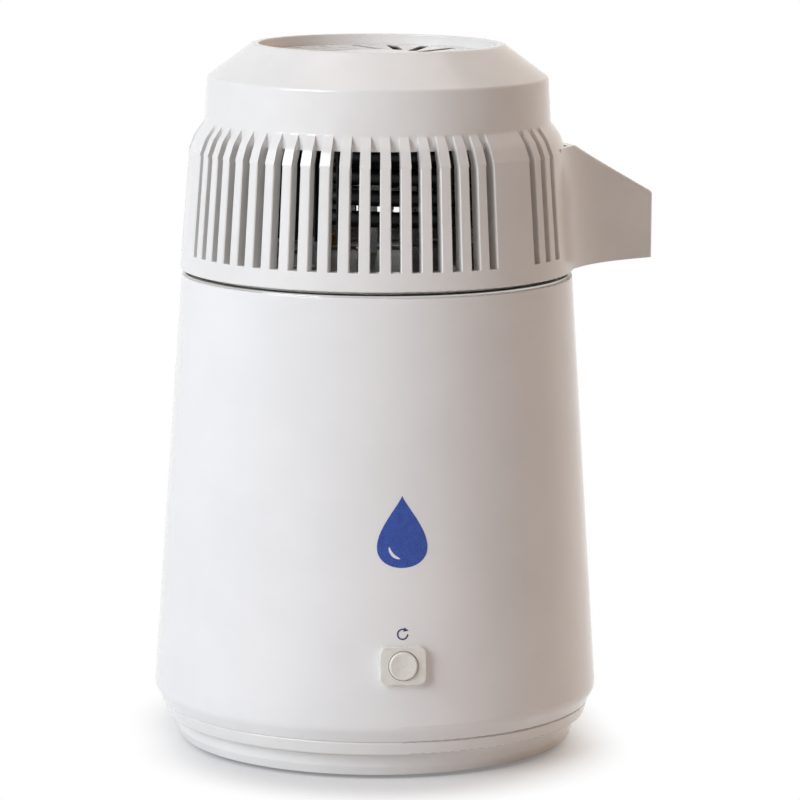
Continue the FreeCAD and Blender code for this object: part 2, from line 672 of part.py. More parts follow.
def make_heater_element():
    """Tubular ring, flattened where it is brazed on, with two legs that point down."""
    top_z = TANK_FLOOR_Z - HEATER_THICK
    centre_z = top_z - ELEMENT_R + ELEMENT_SEAT
    circle = Part.Circle(Vector(0, -ELEMENT_RING_R, centre_z), Vector(1, 0, 0), ELEMENT_R)
    face = Part.Face(Part.Wire(circle.toShape()))
    ring = face.revolve(ORIGIN, UP, ELEMENT_SWEEP)
    legs = []
    for angle in (0.0, ELEMENT_SWEEP):
        spot = polar(ELEMENT_RING_R, angle)
        legs.append(cylinder(ELEMENT_R, centre_z - ELEMENT_LEG, centre_z, spot.x, spot.y))
        legs.append(Part.makeSphere(ELEMENT_R, Vector(spot.x, spot.y, centre_z)))
    seat = block(-ELEMENT_RING_R * 2, ELEMENT_RING_R * 2, -ELEMENT_RING_R * 2, ELEMENT_RING_R * 2,
                 top_z, top_z + 2 * ELEMENT_R)
    element = joined(ring, *legs).cut(seat)
    return spun(element, ELEMENT_FIRST_ANGLE)


def make_heater_terminals():
    bottom_z = TANK_FLOOR_Z - HEATER_THICK - ELEMENT_R + ELEMENT_SEAT - ELEMENT_LEG
    tabs = []
    for angle in (ELEMENT_FIRST_ANGLE, ELEMENT_FIRST_ANGLE + ELEMENT_SWEEP):
        spot = polar(ELEMENT_RING_R, angle)
        tabs.append(cylinder(TAB_R, bottom_z - TAB_LENGTH, bottom_z, spot.x, spot.y))
    return tabs


def make_thermostat(x):
    """Snap-disc thermostat that hangs under the heater plate: metal cap and moulded body."""
    top_z = TANK_FLOOR_Z - HEATER_THICK
    cap = cylinder(THERMOSTAT_CAP_R, top_z - THERMOSTAT_CAP_HEIGHT, top_z, x)
    body_top = top_z - THERMOSTAT_CAP_HEIGHT
    body = cylinder(THERMOSTAT_BODY_R, body_top - THERMOSTAT_BODY_HEIGHT, body_top, x)
    return joined(cap, body)


def make_thermostat_blades():
    """Two push-on blades under each thermostat."""
    top_z = TANK_FLOOR_Z - HEATER_THICK - THERMOSTAT_CAP_HEIGHT - THERMOSTAT_BODY_HEIGHT
    blades = []
    for x in (-THERMOSTAT_SPACING / 2, THERMOSTAT_SPACING / 2):
        for side in (-1, 1):
            y = side * THERMOSTAT_BODY_R / 2
            blades.append(block(x - BLADE_WIDTH / 2, x + BLADE_WIDTH / 2, y - BLADE_THICK / 2,
                                y + BLADE_THICK / 2, top_z - BLADE_LENGTH, top_z))
    return blades


def make_thermostat_strap():
    """Steel strap that presses both thermostats to the heater plate."""
    top_z = TANK_FLOOR_Z - HEATER_THICK
    strap_z = top_z - THERMOSTAT_CAP_HEIGHT - STRAP_SHEET
    strap = block(-STRAP_REACH, STRAP_REACH, -STRAP_WIDTH, STRAP_WIDTH, strap_z, strap_z + STRAP_SHEET)
    for side in (-1, 1):
        ear = block(-STRAP_SHEET / 2, STRAP_SHEET / 2, -STRAP_WIDTH, STRAP_WIDTH, strap_z, top_z)
        ear.translate(Vector(side * (STRAP_REACH - STRAP_SHEET / 2), 0, 0))
        strap = joined(strap, ear)
        hole = cylinder(THERMOSTAT_BODY_R + FIT_GAP, strap_z - CUT_OVER, top_z, side * THERMOSTAT_SPACING / 2)
        strap = strap.cut(hole)
    return strap


def make_tie_rods():
    """Rods welded under the tank that pull pan, trim ring and shell together."""
    foot_z = TANK_FLOOR_Z - ROD_FOOT_THICK
    rod = cylinder(M5_R, PAN_FLOOR_Z - ROD_PROUD, TANK_FLOOR_Z, 0, -ROD_RING_R)
    foot = cylinder(ROD_FOOT_R, foot_z, TANK_FLOOR_Z, 0, -ROD_RING_R)
    return around(joined(rod, foot), even_angles(ROD_COUNT, ROD_FIRST_ANGLE))


def make_tie_nuts():
    """Nuts under the pan, and a pair on each rod that holds the heat shield."""
    shield_z = TANK_FLOOR_Z - SHIELD_DROP
    levels = (PAN_FLOOR_Z - NUT_M5_HEIGHT, shield_z - NUT_M5_HEIGHT, shield_z + SHIELD_SHEET)
    nuts = []
    for level in levels:
        one = nut(NUT_M5_FLATS, M5_R + RUNNING_GAP, level, NUT_M5_HEIGHT, 0, -ROD_RING_R)
        nuts += around(one, even_angles(ROD_COUNT, ROD_FIRST_ANGLE))
    return nuts


def make_heat_shield():
    shield_z = TANK_FLOOR_Z - SHIELD_DROP
    shield = cylinder(SHIELD_R, shield_z, shield_z + SHIELD_SHEET)
    hole = cylinder(M5_R + HOLE_OVER_SCREW, shield_z - CUT_OVER, shield_z + CUT_OVER, 0, -ROD_RING_R)
    wire_hole = cylinder(SHIELD_WIRE_HOLE_R, shield_z - CUT_OVER, shield_z + CUT_OVER)
    holes = around(hole, even_angles(ROD_COUNT, ROD_FIRST_ANGLE)) + [wire_hole]
    return shield.cut(Part.makeCompound(holes))


def block_poles():
    """Places of the terminal block's clamping screws, along the block."""
    step = BLOCK_LENGTH / BLOCK_POLES
    return [step * (index - (BLOCK_POLES - 1) / 2) for index in range(BLOCK_POLES)]


def make_terminal_block():
    top_z = TRIM_Z + BLOCK_HEIGHT
    pocket_z = top_z - TERMINAL_POCKET_DEPTH
    base = plate(rectangle(BLOCK_LENGTH, BLOCK_WIDTH, BLOCK_CORNER), TRIM_Z, BLOCK_HEIGHT)
    for x in block_poles():
        base = base.cut(cylinder(TERMINAL_HEAD_R + TERMINAL_POCKET_OVER, pocket_z, top_z + CUT_OVER, x))
        base = base.cut(cylinder(M3_R, pocket_z - TERMINAL_SCREW_LENGTH - SCREW_SHORT, top_z, x))
    base.translate(Vector(0, -BLOCK_RING_R, 0))
    return spun(base, BLOCK_ANGLE)


def make_terminal_screws():
    seat_z = TRIM_Z + BLOCK_HEIGHT - TERMINAL_POCKET_DEPTH
    screws = []
    for x in block_poles():
        one = screw(M3_R, TERMINAL_HEAD_R, TERMINAL_HEAD_HEIGHT, seat_z, seat_z - TERMINAL_SCREW_LENGTH,
                    x, -BLOCK_RING_R)
        screws.append(spun(one, BLOCK_ANGLE))
    return screws


# ---------------------------------------------------------------- reset control
def make_reset_bezel():
    """Square frame that follows the shell's curve, with a neck through the shell."""
    face = plate(rectangle(BEZEL_WIDTH, BEZEL_HEIGHT, BEZEL_CORNER), -FLANGE_BURIED,
                 FLANGE_BURIED + BEZEL_PROUD)
    front_edges = [edge for edge in face.Edges
                   if all(abs(v.Point.z - BEZEL_PROUD) < NO_LENGTH for v in edge.Vertexes)]
    face = face.makeFillet(BEZEL_EDGE, front_edges)
    neck = cylinder(BEZEL_NECK_R, -BEZEL_NECK_DEPTH, 0)
    frame = on_shell(face, 0, RESET_HEIGHT).cut(shell_envelope())
    bezel = joined(frame, on_shell(neck, 0, RESET_HEIGHT))
    step = button_back() + BUTTON_COLLAR_LENGTH + BODY_GAP
    bore = cylinder(BUTTON_R + BODY_GAP, step - CUT_OVER, BEZEL_PROUD + CUT_OVER)
    wide = cylinder(BUTTON_R + BUTTON_COLLAR + BODY_GAP, -BEZEL_NECK_DEPTH - CUT_OVER, step)
    return bezel.cut(on_shell(bore.fuse(wide), 0, RESET_HEIGHT))


def button_back():
    """Rear face of the button's cap, measured outward from the shell."""
    return BEZEL_PROUD + BUTTON_PROUD - BUTTON_CAP_LENGTH


def make_reset_button():
    """Round cap with a dished face, a collar and a stem that works the switch."""
    front = BEZEL_PROUD + BUTTON_PROUD
    back = button_back()
    collar_r = BUTTON_R + BUTTON_COLLAR
    cap = turned([
        (0, back, 0), (collar_r, back, 0), (collar_r, back + BUTTON_COLLAR_LENGTH, 0),
        (BUTTON_R, back + BUTTON_COLLAR_LENGTH, 0), (BUTTON_R, front, BUTTON_EDGE), (0, front, 0)])
    stem = cylinder(BUTTON_STEM_R, back - BUTTON_STEM_LENGTH, back)
    dish_half = BUTTON_R - BUTTON_EDGE
    dish_r = (dish_half ** 2 + BUTTON_DISH ** 2) / (2 * BUTTON_DISH)
    dish = Part.makeSphere(dish_r, Vector(0, 0, front + dish_r - BUTTON_DISH))
    return on_shell(joined(cap, stem).cut(dish), 0, RESET_HEIGHT)


def make_reset_spring():
    """Helical spring between the cap and the switch."""
    top = button_back() - BODY_GAP - SPRING_WIRE_R
    bottom = -BEZEL_NECK_DEPTH + FIT_GAP + SPRING_WIRE_R
    path = coil_path(SPRING_R, top - bottom, SPRING_HALF_TURNS)
    wire = Part.Wire(Part.Circle(Vector(SPRING_R, 0, 0), Vector(0, 1, 0), SPRING_WIRE_R).toShape())
    spring = path.makePipeShell([wire], True, True)
    spring.translate(Vector(0, 0, bottom))
    return on_shell(spring, 0, RESET_HEIGHT)


def make_reset_switch():
    """Moulded breaker behind the bezel."""
    back = -BEZEL_NECK_DEPTH - SWITCH_DEPTH
    body = plate(rectangle(SWITCH_SIDE, SWITCH_SIDE, EDGE_ROUND), back, SWITCH_DEPTH)
    well_floor = button_back() - BUTTON_STEM_LENGTH - BUTTON_TRAVEL - BODY_GAP
    well = cylinder(BUTTON_STEM_R + BODY_GAP, well_floor, CUT_OVER - BEZEL_NECK_DEPTH)
    return on_shell(body.cut(well), 0, RESET_HEIGHT)


def make_reset_terminals():
    back = -BEZEL_NECK_DEPTH - SWITCH_DEPTH
    blades = []
    for side in (-1, 1):
        y = side * SWITCH_SIDE / 4
        blade = block(-BLADE_WIDTH / 2, BLADE_WIDTH / 2, y - BLADE_THICK / 2, y + BLADE_THICK / 2,
                      back - BLADE_LENGTH, back)
        blades.append(on_shell(blade, 0, RESET_HEIGHT))
    return blades


# ---------------------------------------------------------------- mains inlet and fan socket
def inlet_mouth_corners():
    corners = rectangle(INLET_MOUTH_WIDTH, INLET_MOUTH_HEIGHT)
    half_w = INLET_MOUTH_WIDTH / 2
    half_h = INLET_MOUTH_HEIGHT / 2
    bevel = INLET_MOUTH_BEVEL
    return corners[:2] + [(half_w, half_h - bevel, 0), (half_w - bevel, half_h, 0),
                          (-half_w + bevel, half_h, 0), (-half_w, half_h - bevel, 0)]


def make_power_inlet():
    """Three-pin appliance inlet, its flange fitted to the shell's curve."""
    flange = plate(rectangle(INLET_FLANGE_WIDTH, INLET_FLANGE_HEIGHT, INLET_FLANGE_CORNER),
                   -FLANGE_BURIED, FLANGE_BURIED + INLET_FLANGE_PROUD)
    body = plate(rectangle(INLET_BODY_WIDTH, INLET_BODY_HEIGHT, EDGE_ROUND), -INLET_BODY_DEPTH,
                 INLET_BODY_DEPTH)
    inlet = joined(on_shell(flange, 180, INLET_HEIGHT).cut(shell_envelope()),
                   on_shell(body, 180, INLET_HEIGHT))
    mouth = plate(inlet_mouth_corners(), INLET_FLANGE_PROUD - INLET_MOUTH_DEPTH,
                  INLET_MOUTH_DEPTH + CUT_OVER)
    cuts = [on_shell(mouth, 180, INLET_HEIGHT)]
    for side in (-1, 1):
        hole = cylinder(M3_R + RUNNING_GAP, -HOLE_REACH, HOLE_REACH, side * INLET_SCREW_SPACING / 2)
        cuts.append(on_shell(hole, 180, INLET_HEIGHT))
    return inlet.cut(Part.makeCompound(cuts + make_inlet_pins()))


def make_inlet_pins():
    """Line, neutral and earth pins; they pass through the back of the inlet."""
    floor = INLET_FLANGE_PROUD - INLET_MOUTH_DEPTH
    places = ((-PIN_SPACING / 2, -PIN_EARTH_OFFSET / 2), (PIN_SPACING / 2, -PIN_EARTH_OFFSET / 2),
              (0, PIN_EARTH_OFFSET / 2))
    pins = []
    for x, y in places:
        pin = block(x - PIN_WIDTH / 2, x + PIN_WIDTH / 2, y - PIN_HEIGHT / 2, y + PIN_HEIGHT / 2,
                    -INLET_BODY_DEPTH - PIN_TAIL, floor + PIN_LENGTH)
        pins.append(on_shell(pin, 180, INLET_HEIGHT))
    return pins


def make_inlet_screws():
    screws = []
    for side in (-1, 1):
        one = screw(M3_R, INLET_HEAD_R, INLET_HEAD_HEIGHT, INLET_FLANGE_PROUD,
                    INLET_FLANGE_PROUD - INLET_SCREW_LENGTH, side * INLET_SCREW_SPACING / 2)
        screws.append(on_shell(one, 180, INLET_HEIGHT))
    return screws


def make_fan_socket():
    """Round two-hole outlet that feeds the fan in the head."""
    flange = cylinder(SOCKET_FLANGE_R, -FLANGE_BURIED, SOCKET_FLANGE_PROUD)
    body = cylinder(SOCKET_BODY_R, -SOCKET_BODY_DEPTH, 0)
    socket = joined(on_shell(flange, 180, SOCKET_Z).cut(shell_envelope()),
                    on_shell(body, 180, SOCKET_Z))
    back = SOCKET_BACK_WALL - SOCKET_BODY_DEPTH
    cuts = []
    for side in (-1, 1):
        x = side * SOCKET_HOLE_SPACING / 2
        cuts.append(cylinder(SOCKET_HOLE_R + FIT_GAP, back, SOCKET_FLANGE_PROUD + CUT_OVER, x))
        cuts.append(cylinder(SOCKET_HOLE_R + SLEEVE_WALL, back, back + SLEEVE_LENGTH, x))
    return socket.cut(Part.makeCompound([on_shell(cut, 180, SOCKET_Z) for cut in cuts]))


def make_socket_sleeves():
    back = SOCKET_BACK_WALL - SOCKET_BODY_DEPTH
    sleeves = []
    for side in (-1, 1):
        sleeve = tube(SOCKET_HOLE_R, SOCKET_HOLE_R + SLEEVE_WALL, back, back + SLEEVE_LENGTH,
                      side * SOCKET_HOLE_SPACING / 2)
        sleeves.append(on_shell(sleeve, 180, SOCKET_Z))
    return sleeves


# ---------------------------------------------------------------- head moulding
def head_shell():
    """Rim, bevel, neck, shoulder, rib ring and fan duct as one turned shape."""
    fall = BEVEL_HEIGHT / (NECK_TOP_R - RIM_R)
    bevel_under_rim = RIM_Z - NECK_WALL * math.hypot(1, fall)
    deck_z = LEDGE_Z - DECK_WALL
    deck_r = RIM_R + (bevel_under_rim - deck_z) / fall
    neck_inner_top = NECK_TOP_R - NECK_WALL
    inner_foot_z = SLOT_Z - SLOT_FLOOR
    outer_foot = [
        (RING_FOOT_R - BAND_WALL, HEAD_Z, 0), (RING_FOOT_R, HEAD_Z, EDGE_ROUND),
        (RING_TOP_R, RING_TOP_Z, RING_TOP_ROUND)]
    chord = math.hypot(SHOULDER_HEIGHT, RING_TOP_R - NECK_FOOT_R)
    bulge = (RING_TOP_R + NECK_FOOT_R) / 2 + SHOULDER_BULGE * SHOULDER_HEIGHT / chord
    bulge_z = (RING_TOP_Z + NECK_Z) / 2 + SHOULDER_BULGE * (RING_TOP_R - NECK_FOOT_R) / chord
    return turned(outer_foot + [
        (bulge, bulge_z, SHOULDER_ROUND), (NECK_FOOT_R, NECK_Z, NECK_FOOT_ROUND),
        (NECK_TOP_R, NECK_TOP_Z, NECK_EDGE), (RIM_R, RIM_Z, RIM_ROUND), (RECESS_R, RIM_Z, EDGE_ROUND),
        (RECESS_R, LEDGE_Z, 0), (DUCT_R, LEDGE_Z, EDGE_ROUND), (DUCT_R, LEDGE_Z - DUCT_HEIGHT, 0),
        (DUCT_R + DUCT_WALL, LEDGE_Z - DUCT_HEIGHT, 0), (DUCT_R + DUCT_WALL, deck_z, 0),
        (deck_r, deck_z, 0), (neck_inner_top, bevel_under_rim - (neck_inner_top - RIM_R) * fall, 0),
        (neck_r(SLOT_TOP_Z) - NECK_WALL, SLOT_TOP_Z, 0), (RING_TOP_R - RING_WALL, RING_TOP_Z, 0),
        (ring_r(inner_foot_z) - RING_WALL, inner_foot_z, 0),
        (ring_r(inner_foot_z - FLOOR_STEP) - BAND_WALL, inner_foot_z - FLOOR_STEP, 0)])


def spout_outline(z, inset):
    """Plan of the spout, pointing along +X: tapered sides that flare tangentially from the ring."""
    taper = math.radians(SPOUT_TAPER)
    root = math.radians(SPOUT_ROOT_ANGLE)
    tip_x = SPOUT_REACH - inset
    tip_y = SPOUT_TIP_HALF - inset / math.cos(taper) + inset * math.tan(taper)
    r = ring_r(z) - inset
    root_x = r * math.cos(root)
    root_y = r * math.sin(root)
    # Where the side wall's line meets the ring's tangent at the root.
    gap_x = tip_x - root_x
    gap_y = tip_y - root_y
    flare = abs((gap_x * math.sin(taper) + gap_y * math.cos(taper)) / math.cos(root + taper))
    knee_x = root_x + flare * math.sin(root)
    knee_y = root_y - flare * math.cos(root)
    turn = math.pi / 2 - root - taper
    flare_radius = flare / math.tan(turn / 2)
    corner = max(SPOUT_CORNER - inset, EDGE_ROUND)
    side = [(root_x, root_y, 0), (knee_x, knee_y, flare_radius), (tip_x, tip_y, corner)]
    mirrored = [(x, -y, radius) for x, y, radius in reversed(side)]
    return rounded_wire(side + mirrored, lambda p: Vector(p.x, p.y, z))


def spout_fall():
    """Fall of the spout's top for each millimetre away from the axis."""
    return (RING_TOP_Z - SPOUT_Z - SPOUT_TIP_HEIGHT) / (SPOUT_REACH - RING_TOP_R)


def spout_block(inset):
    """Spout's outer volume, or with its wall as the inset the inner one."""
    fall = spout_fall()
    z_low = SPOUT_Z + inset
    z_high = RING_TOP_Z + CUT_OVER
    body = Part.makeLoft([spout_outline(z_low, inset), spout_outline(z_high, inset)], True, True)
    reach = SPOUT_REACH + CUT_OVER
    top_at_axis = RING_TOP_Z + fall * RING_TOP_R - inset * math.hypot(1, fall)
    corners = [(0, top_at_axis), (reach, top_at_axis - fall * reach), (reach, top_at_axis + reach),
               (0, top_at_axis + reach)]
    points = [Vector(x, -SPOUT_REACH, z) for x, z in corners]
    above = Part.Face(Part.makePolygon(points + points[:1])).extrude(Vector(0, 2 * SPOUT_REACH, 0))
    return body.cut(above)


def spout_outer():
    """Outer volume with rounded top edges."""
    body = spout_block(0.0)
    root_x = RING_TOP_R * math.cos(math.radians(SPOUT_ROOT_ANGLE))
    top_edges = []
    for edge in body.Edges:
        centre = edge.CenterOfMass
        top_z = RING_TOP_Z - spout_fall() * (centre.x - RING_TOP_R)
        if abs(centre.z - top_z) < SPOUT_TOP_STRAY and centre.x > root_x + SPOUT_TOP_ROUND:
            top_edges.append(edge)
    return body.makeFillet(SPOUT_TOP_ROUND, top_edges)


def ring_core():
    """The free space inside the rib ring and the plain band below it."""
    foot_z = SLOT_Z - SLOT_FLOOR
    low_z = HEAD_Z - CUT_OVER
    return turned([
        (0, low_z, 0), (ring_r(low_z) - BAND_WALL, low_z, 0),
        (ring_r(foot_z - FLOOR_STEP) - BAND_WALL, foot_z - FLOOR_STEP, 0),
        (ring_r(foot_z) - RING_WALL, foot_z, 0),
        (RING_TOP_R - RING_WALL, RING_TOP_Z, 0), (0, RING_TOP_Z, 0)])


def slot_angles():
    """Slots all round, except at the screw posts and behind the spout."""
    angles = []
    for index in range(SLOT_PITCHES):
        at_post = any(abs(index - post) < 1 for post in POST_POSITIONS)
        angle = SLOT_START + index * SLOT_PITCH
        if not at_post and abs(angle - SPOUT_ANGLE) > SPOUT_ROOT_ANGLE + SLOT_PITCH:
            angles.append(angle)
    return angles


def slot_cutter():
    """One slot at the front: open below the shoulder, a groove beside the neck above it."""
    half = SLOT_WIDTH / 2
    near = RING_FOOT_R + CUT_OVER
    inner = neck_r(SLOT_TOP_Z) - NECK_WALL - CUT_OVER
    groove_r = NECK_FOOT_R - GROOVE_BITE
    groove_z = NECK_Z + GROOVE_RISE
    outline = [(near, SLOT_Z), (near, groove_z), (groove_r, groove_z), (groove_r, SLOT_TOP_Z),
               (inner, SLOT_TOP_Z), (inner, SLOT_Z)]
    points = [Vector(-half, -r, z) for r, z in outline]
    slab = Part.Face(Part.makePolygon(points + points[:1])).extrude(Vector(SLOT_WIDTH, 0, 0))
    wide = half + SLOT_EDGE
    sections = []
    for z in (SLOT_Z, RING_TOP_Z - RING_TOP_ROUND / 2):
        r = ring_r(z)
        corners = [Vector(-wide, -r, z), Vector(-half, -r + SLOT_EDGE, z),
                   Vector(half, -r + SLOT_EDGE, z), Vector(wide, -r, z)]
        sections.append(Part.makePolygon(corners + corners[:1]))
    return slab.fuse(Part.makeLoft(sections, True, True))


def make_hood():
    hood = head_shell()
    outer = spun(spout_outer().cut(ring_core()), SPOUT_ANGLE - 90)
    inner = spun(spout_block(SPOUT_WALL), SPOUT_ANGLE - 90)
    hood = hood.fuse(outer).cut(inner)
    hood = hood.cut(Part.makeCompound(around(slot_cutter(), slot_angles())))
    hood = hood.multiFuse(around(screw_post(), post_angles()))
    pilot = cylinder(M4_R + RUNNING_GAP, LID_TOP_Z - CUT_OVER, LID_TOP_Z + POST_SCREW_DEPTH, 0, -POST_RING_R)
    cup_spot = polar(CUP_RING_R, SPOUT_ANGLE)
    cup_hole = cylinder(CUP_R + BODY_GAP, SPOUT_Z - CUT_OVER, SPOUT_Z + SPOUT_WALL + CUT_OVER,
                        cup_spot.x, cup_spot.y)
    lead_hole = Part.makeCylinder(GROMMET_R - GROMMET_LIP + RUNNING_GAP, 2 * HOLE_REACH,
                                  Vector(0, NECK_TOP_R - HOLE_REACH, grommet_z()), Vector(0, 1, 0))
    holes = around(pilot, post_angles()) + [cup_hole, lead_hole]
    return hood.cut(Part.makeCompound(holes)).removeSplitter()


def post_angles():
    return [SLOT_START + position * SLOT_PITCH for position in POST_POSITIONS]


def screw_post():
    """Post for one of the lid plate's screws, with a web to the ribs."""
    post = cylinder(POST_R, LID_TOP_Z, NECK_Z, 0, -POST_RING_R)
    outline = [
        (POST_RING_R, LID_TOP_Z), (ring_r(SLOT_Z) - RING_WALL + WEB_BITE, SLOT_Z - SLOT_FLOOR),
        (RING_TOP_R - RING_WALL + WEB_BITE, RING_TOP_Z), (NECK_FOOT_R - NECK_WALL + WEB_BITE, NECK_Z),
        (POST_RING_R, NECK_Z)]
    points = [Vector(-POST_WEB / 2, -r, z) for r, z in outline]
    web = Part.Face(Part.makePolygon(points + points[:1])).extrude(Vector(POST_WEB, 0, 0))
    return post.fuse(web)


def grommet_z():
    return NECK_Z + GROMMET_ABOVE_NECK_FOOT


def make_lead_grommet():
    """Rubber bush at the back of the head for the fan's lead."""
    level = grommet_z()
    outer = neck_r(level - GROMMET_R) + FIT_GAP
    inner = math.sqrt((neck_r(level + GROMMET_R) - NECK_WALL) ** 2 - GROMMET_R ** 2) - FIT_GAP
    wall = outer - inner
    bush = turned([
        (GROMMET_BORE_R, -GROMMET_LIP, 0), (GROMMET_R, -GROMMET_LIP, EDGE_ROUND), (GROMMET_R, 0, 0),
        (GROMMET_R - GROMMET_LIP, 0, 0), (GROMMET_R - GROMMET_LIP, wall, 0), (GROMMET_R, wall, 0),
        (GROMMET_R, wall + GROMMET_LIP, EDGE_ROUND), (GROMMET_BORE_R, wall + GROMMET_LIP, 0)])
    bush.rotate(ORIGIN, Vector(1, 0, 0), 90)
    bush.translate(Vector(0, outer, level))
    return bush


def make_top_grille():
    """Round grille over the fan: skewed deep slots round a plain hub."""
    disc_r = RECESS_R - FIT_GAP
    top_z = LEDGE_Z + GRILLE_THICK
    grille = turned([
        (0, LEDGE_Z, 0), (disc_r, LEDGE_Z, 0), (disc_r, top_z, EDGE_ROUND),
        (GRILLE_HUB_R + GRILLE_HUB_SLOPE, top_z, 0), (GRILLE_HUB_R, top_z + GRILLE_HUB_PROUD, EDGE_ROUND),
        (0, top_z + GRILLE_HUB_PROUD, 0)])
    length = GRILLE_SLOT_OUTER_R - GRILLE_SLOT_INNER_R
    slot = plate(rectangle(GRILLE_SLOT_WIDTH, length, GRILLE_SLOT_WIDTH / 2),
                 LEDGE_Z - CUT_OVER, GRILLE_THICK + 2 * CUT_OVER)
    slot.rotate(ORIGIN, UP, GRILLE_SKEW)
    slot.translate(Vector(0, -(GRILLE_SLOT_INNER_R + GRILLE_SLOT_OUTER_R) / 2, 0))
    return grille.cut(Part.makeCompound(around(slot, even_angles(GRILLE_SLOTS))))


# ---------------------------------------------------------------- lid plate and condenser
def riser_spot():
    """Centre of the steam riser: back along the tangent from the coil's start."""
    start = polar(COIL_R, COIL_START_ANGLE)
    back = polar(1.0, COIL_START_ANGLE - 90)
    return start + back * RISER_OFFSET


def make_lid_plate():
    """Stainless plate over the tank, stiffened by a ring bead."""
    lid = cylinder(LID_PLATE_R, LID_Z, LID_TOP_Z)
    bead = tube(LID_RIB_R - LID_RIB_SECTION, LID_RIB_R + LID_RIB_SECTION, LID_TOP_Z,
                LID_TOP_Z + LID_RIB_SECTION)
    lid = joined(lid, bead)
    spot = riser_spot()
    screw_hole = cylinder(M4_R + HOLE_OVER_SCREW, LID_Z - CUT_OVER, LID_TOP_Z + CUT_OVER, 0, -POST_RING_R)
    holes = around(screw_hole, post_angles())
    holes.append(cylinder(TUBE_R + RUNNING_GAP, LID_Z - CUT_OVER, LID_TOP_Z + CUT_OVER, spot.x, spot.y))
    return lid.cut(Part.makeCompound(holes))


def make_lid_screws():
    tip_z = LID_TOP_Z + POST_SCREW_DEPTH - SCREW_SHORT
    one = screw(M4_R, LID_HEAD_R, LID_HEAD_HEIGHT, LID_Z, tip_z, 0, -POST_RING_R)
    return around(one, post_angles())


def make_lid_gasket():
    """Silicone ring: seat on the tank's flange and a tongue that centres the head in the tank."""
    seat_z = FLANGE_Z + TANK_SHEET + BODY_GAP
    tongue_r = TANK_INNER_R - BODY_GAP
    return turned([
        (tongue_r - GASKET_TONGUE_WALL, LID_Z, 0),
        (tongue_r - GASKET_TONGUE_WALL, seat_z - GASKET_TONGUE, EDGE_ROUND),
        (tongue_r, seat_z - GASKET_TONGUE, EDGE_ROUND), (tongue_r, seat_z, 0),
        (GASKET_SEAT_R, seat_z, EDGE_ROUND), (GASKET_SEAT_R, LID_Z, 0)])


def pipe(points, bend_r):
    """Thin tube along straight runs joined by tangent arcs."""
    edges = []
    here = points[0]
    for index in range(1, len(points) - 1):
        corner = points[index]
        towards_before = (points[index - 1] - corner).normalize()
        towards_after = (points[index + 1] - corner).normalize()
        half = towards_before.getAngle(towards_after) / 2
        start = corner + towards_before * (bend_r / math.tan(half))
        end = corner + towards_after * (bend_r / math.tan(half))
        inward = (towards_before + towards_after).normalize()
        middle = corner + inward * (bend_r / math.sin(half) - bend_r)
        edges.append(Part.LineSegment(here, start).toShape())
        edges.append(Part.Arc(start, middle, end).toShape())
        here = end
    edges.append(Part.LineSegment(here, points[-1]).toShape())
    path = Part.Wire(edges)
    return swept(path, points[0], points[1] - points[0])


def swept(path, start, direction):
    """Hollow tube along a path."""
    solids = []
    for radius in (TUBE_R, TUBE_R - TUBE_WALL):
        circle = Part.Wire(Part.Circle(start, direction, radius).toShape())
        solids.append(path.makePipeShell([circle], True, True))
    return solids[0].cut(solids[1])


def coil_levels(angle):
    """Heights at which the coil passes an angle."""
    levels = []
    along = (COIL_END_ANGLE - angle) % 360
    while along < 180 * COIL_HALF_TURNS:
        half_turn, rest = divmod(along, 180)
        share = (1 - math.cos(math.radians(rest))) / 2
        levels.append(COIL_Z + COIL_PITCH / 2 * (half_turn + share))
        along += 360
    return levels


def make_condenser_coil():
    """Coiled tube that winds down from the steam riser to the spout."""
    # Drawn rising from the outlet; it turns the other way than the angles count.
    path = coil_path(COIL_R, COIL_RISE, COIL_HALF_TURNS)
    coil = swept(path, Vector(COIL_R, 0, 0), Vector(0, -1, 0))
    coil.rotate(ORIGIN, UP, COIL_END_ANGLE - 90)
    coil.translate(Vector(0, 0, COIL_Z))
    return coil


def make_steam_tube():
    """Riser from the lid plate, bent over into the coil's top end."""
    spot = riser_spot()
    end = polar(COIL_R, COIL_START_ANGLE, COIL_TOP_Z)
    end = end - polar(COIL_END_GAP, COIL_START_ANGLE + 90)
    foot = Vector(spot.x, spot.y, LID_Z - RISER_BELOW_LID)
    elbow = Vector(spot.x, spot.y, COIL_TOP_Z)
    return pipe([foot, elbow, end], BEND_R)


def make_condensate_tube():
    """Straight tube from the coil's lower end into the spout, bent down over the cup."""
    start = polar(COIL_R, COIL_END_ANGLE, COIL_Z) + polar(COIL_END_GAP, COIL_END_ANGLE + 90)
    over = polar(CUP_RING_R, SPOUT_ANGLE, COIL_Z)
    end = Vector(over.x, over.y, CUP_TOP_Z + OUTLET_ABOVE_CUP)
    return pipe([start, over, end], over.z - end.z - OUTLET_STRAIGHT)


def make_tube_fittings():
    """Sleeves over the coil's two ends and the nut that holds the riser on the lid plate."""
    fittings = []
    for angle, level in ((COIL_START_ANGLE, COIL_TOP_Z), (COIL_END_ANGLE, COIL_Z)):
        flow = polar(1.0, angle + 90)
        start = polar(COIL_R, angle, level) - flow * (FITTING_LENGTH / 2)
        outer = Part.makeCylinder(TUBE_R + FITTING_WALL, FITTING_LENGTH, start, flow)
        inner = Part.makeCylinder(TUBE_R + FITTING_GAP, FITTING_LENGTH + 2 * CUT_OVER,
                                  start - flow * CUT_OVER, flow)
        fittings.append(outer.cut(inner))
    spot = riser_spot()
    fittings.append(nut(RISER_NUT_FLATS, TUBE_R + RUNNING_GAP, LID_TOP_Z, RISER_NUT_HEIGHT, spot.x, spot.y))
    return fittings


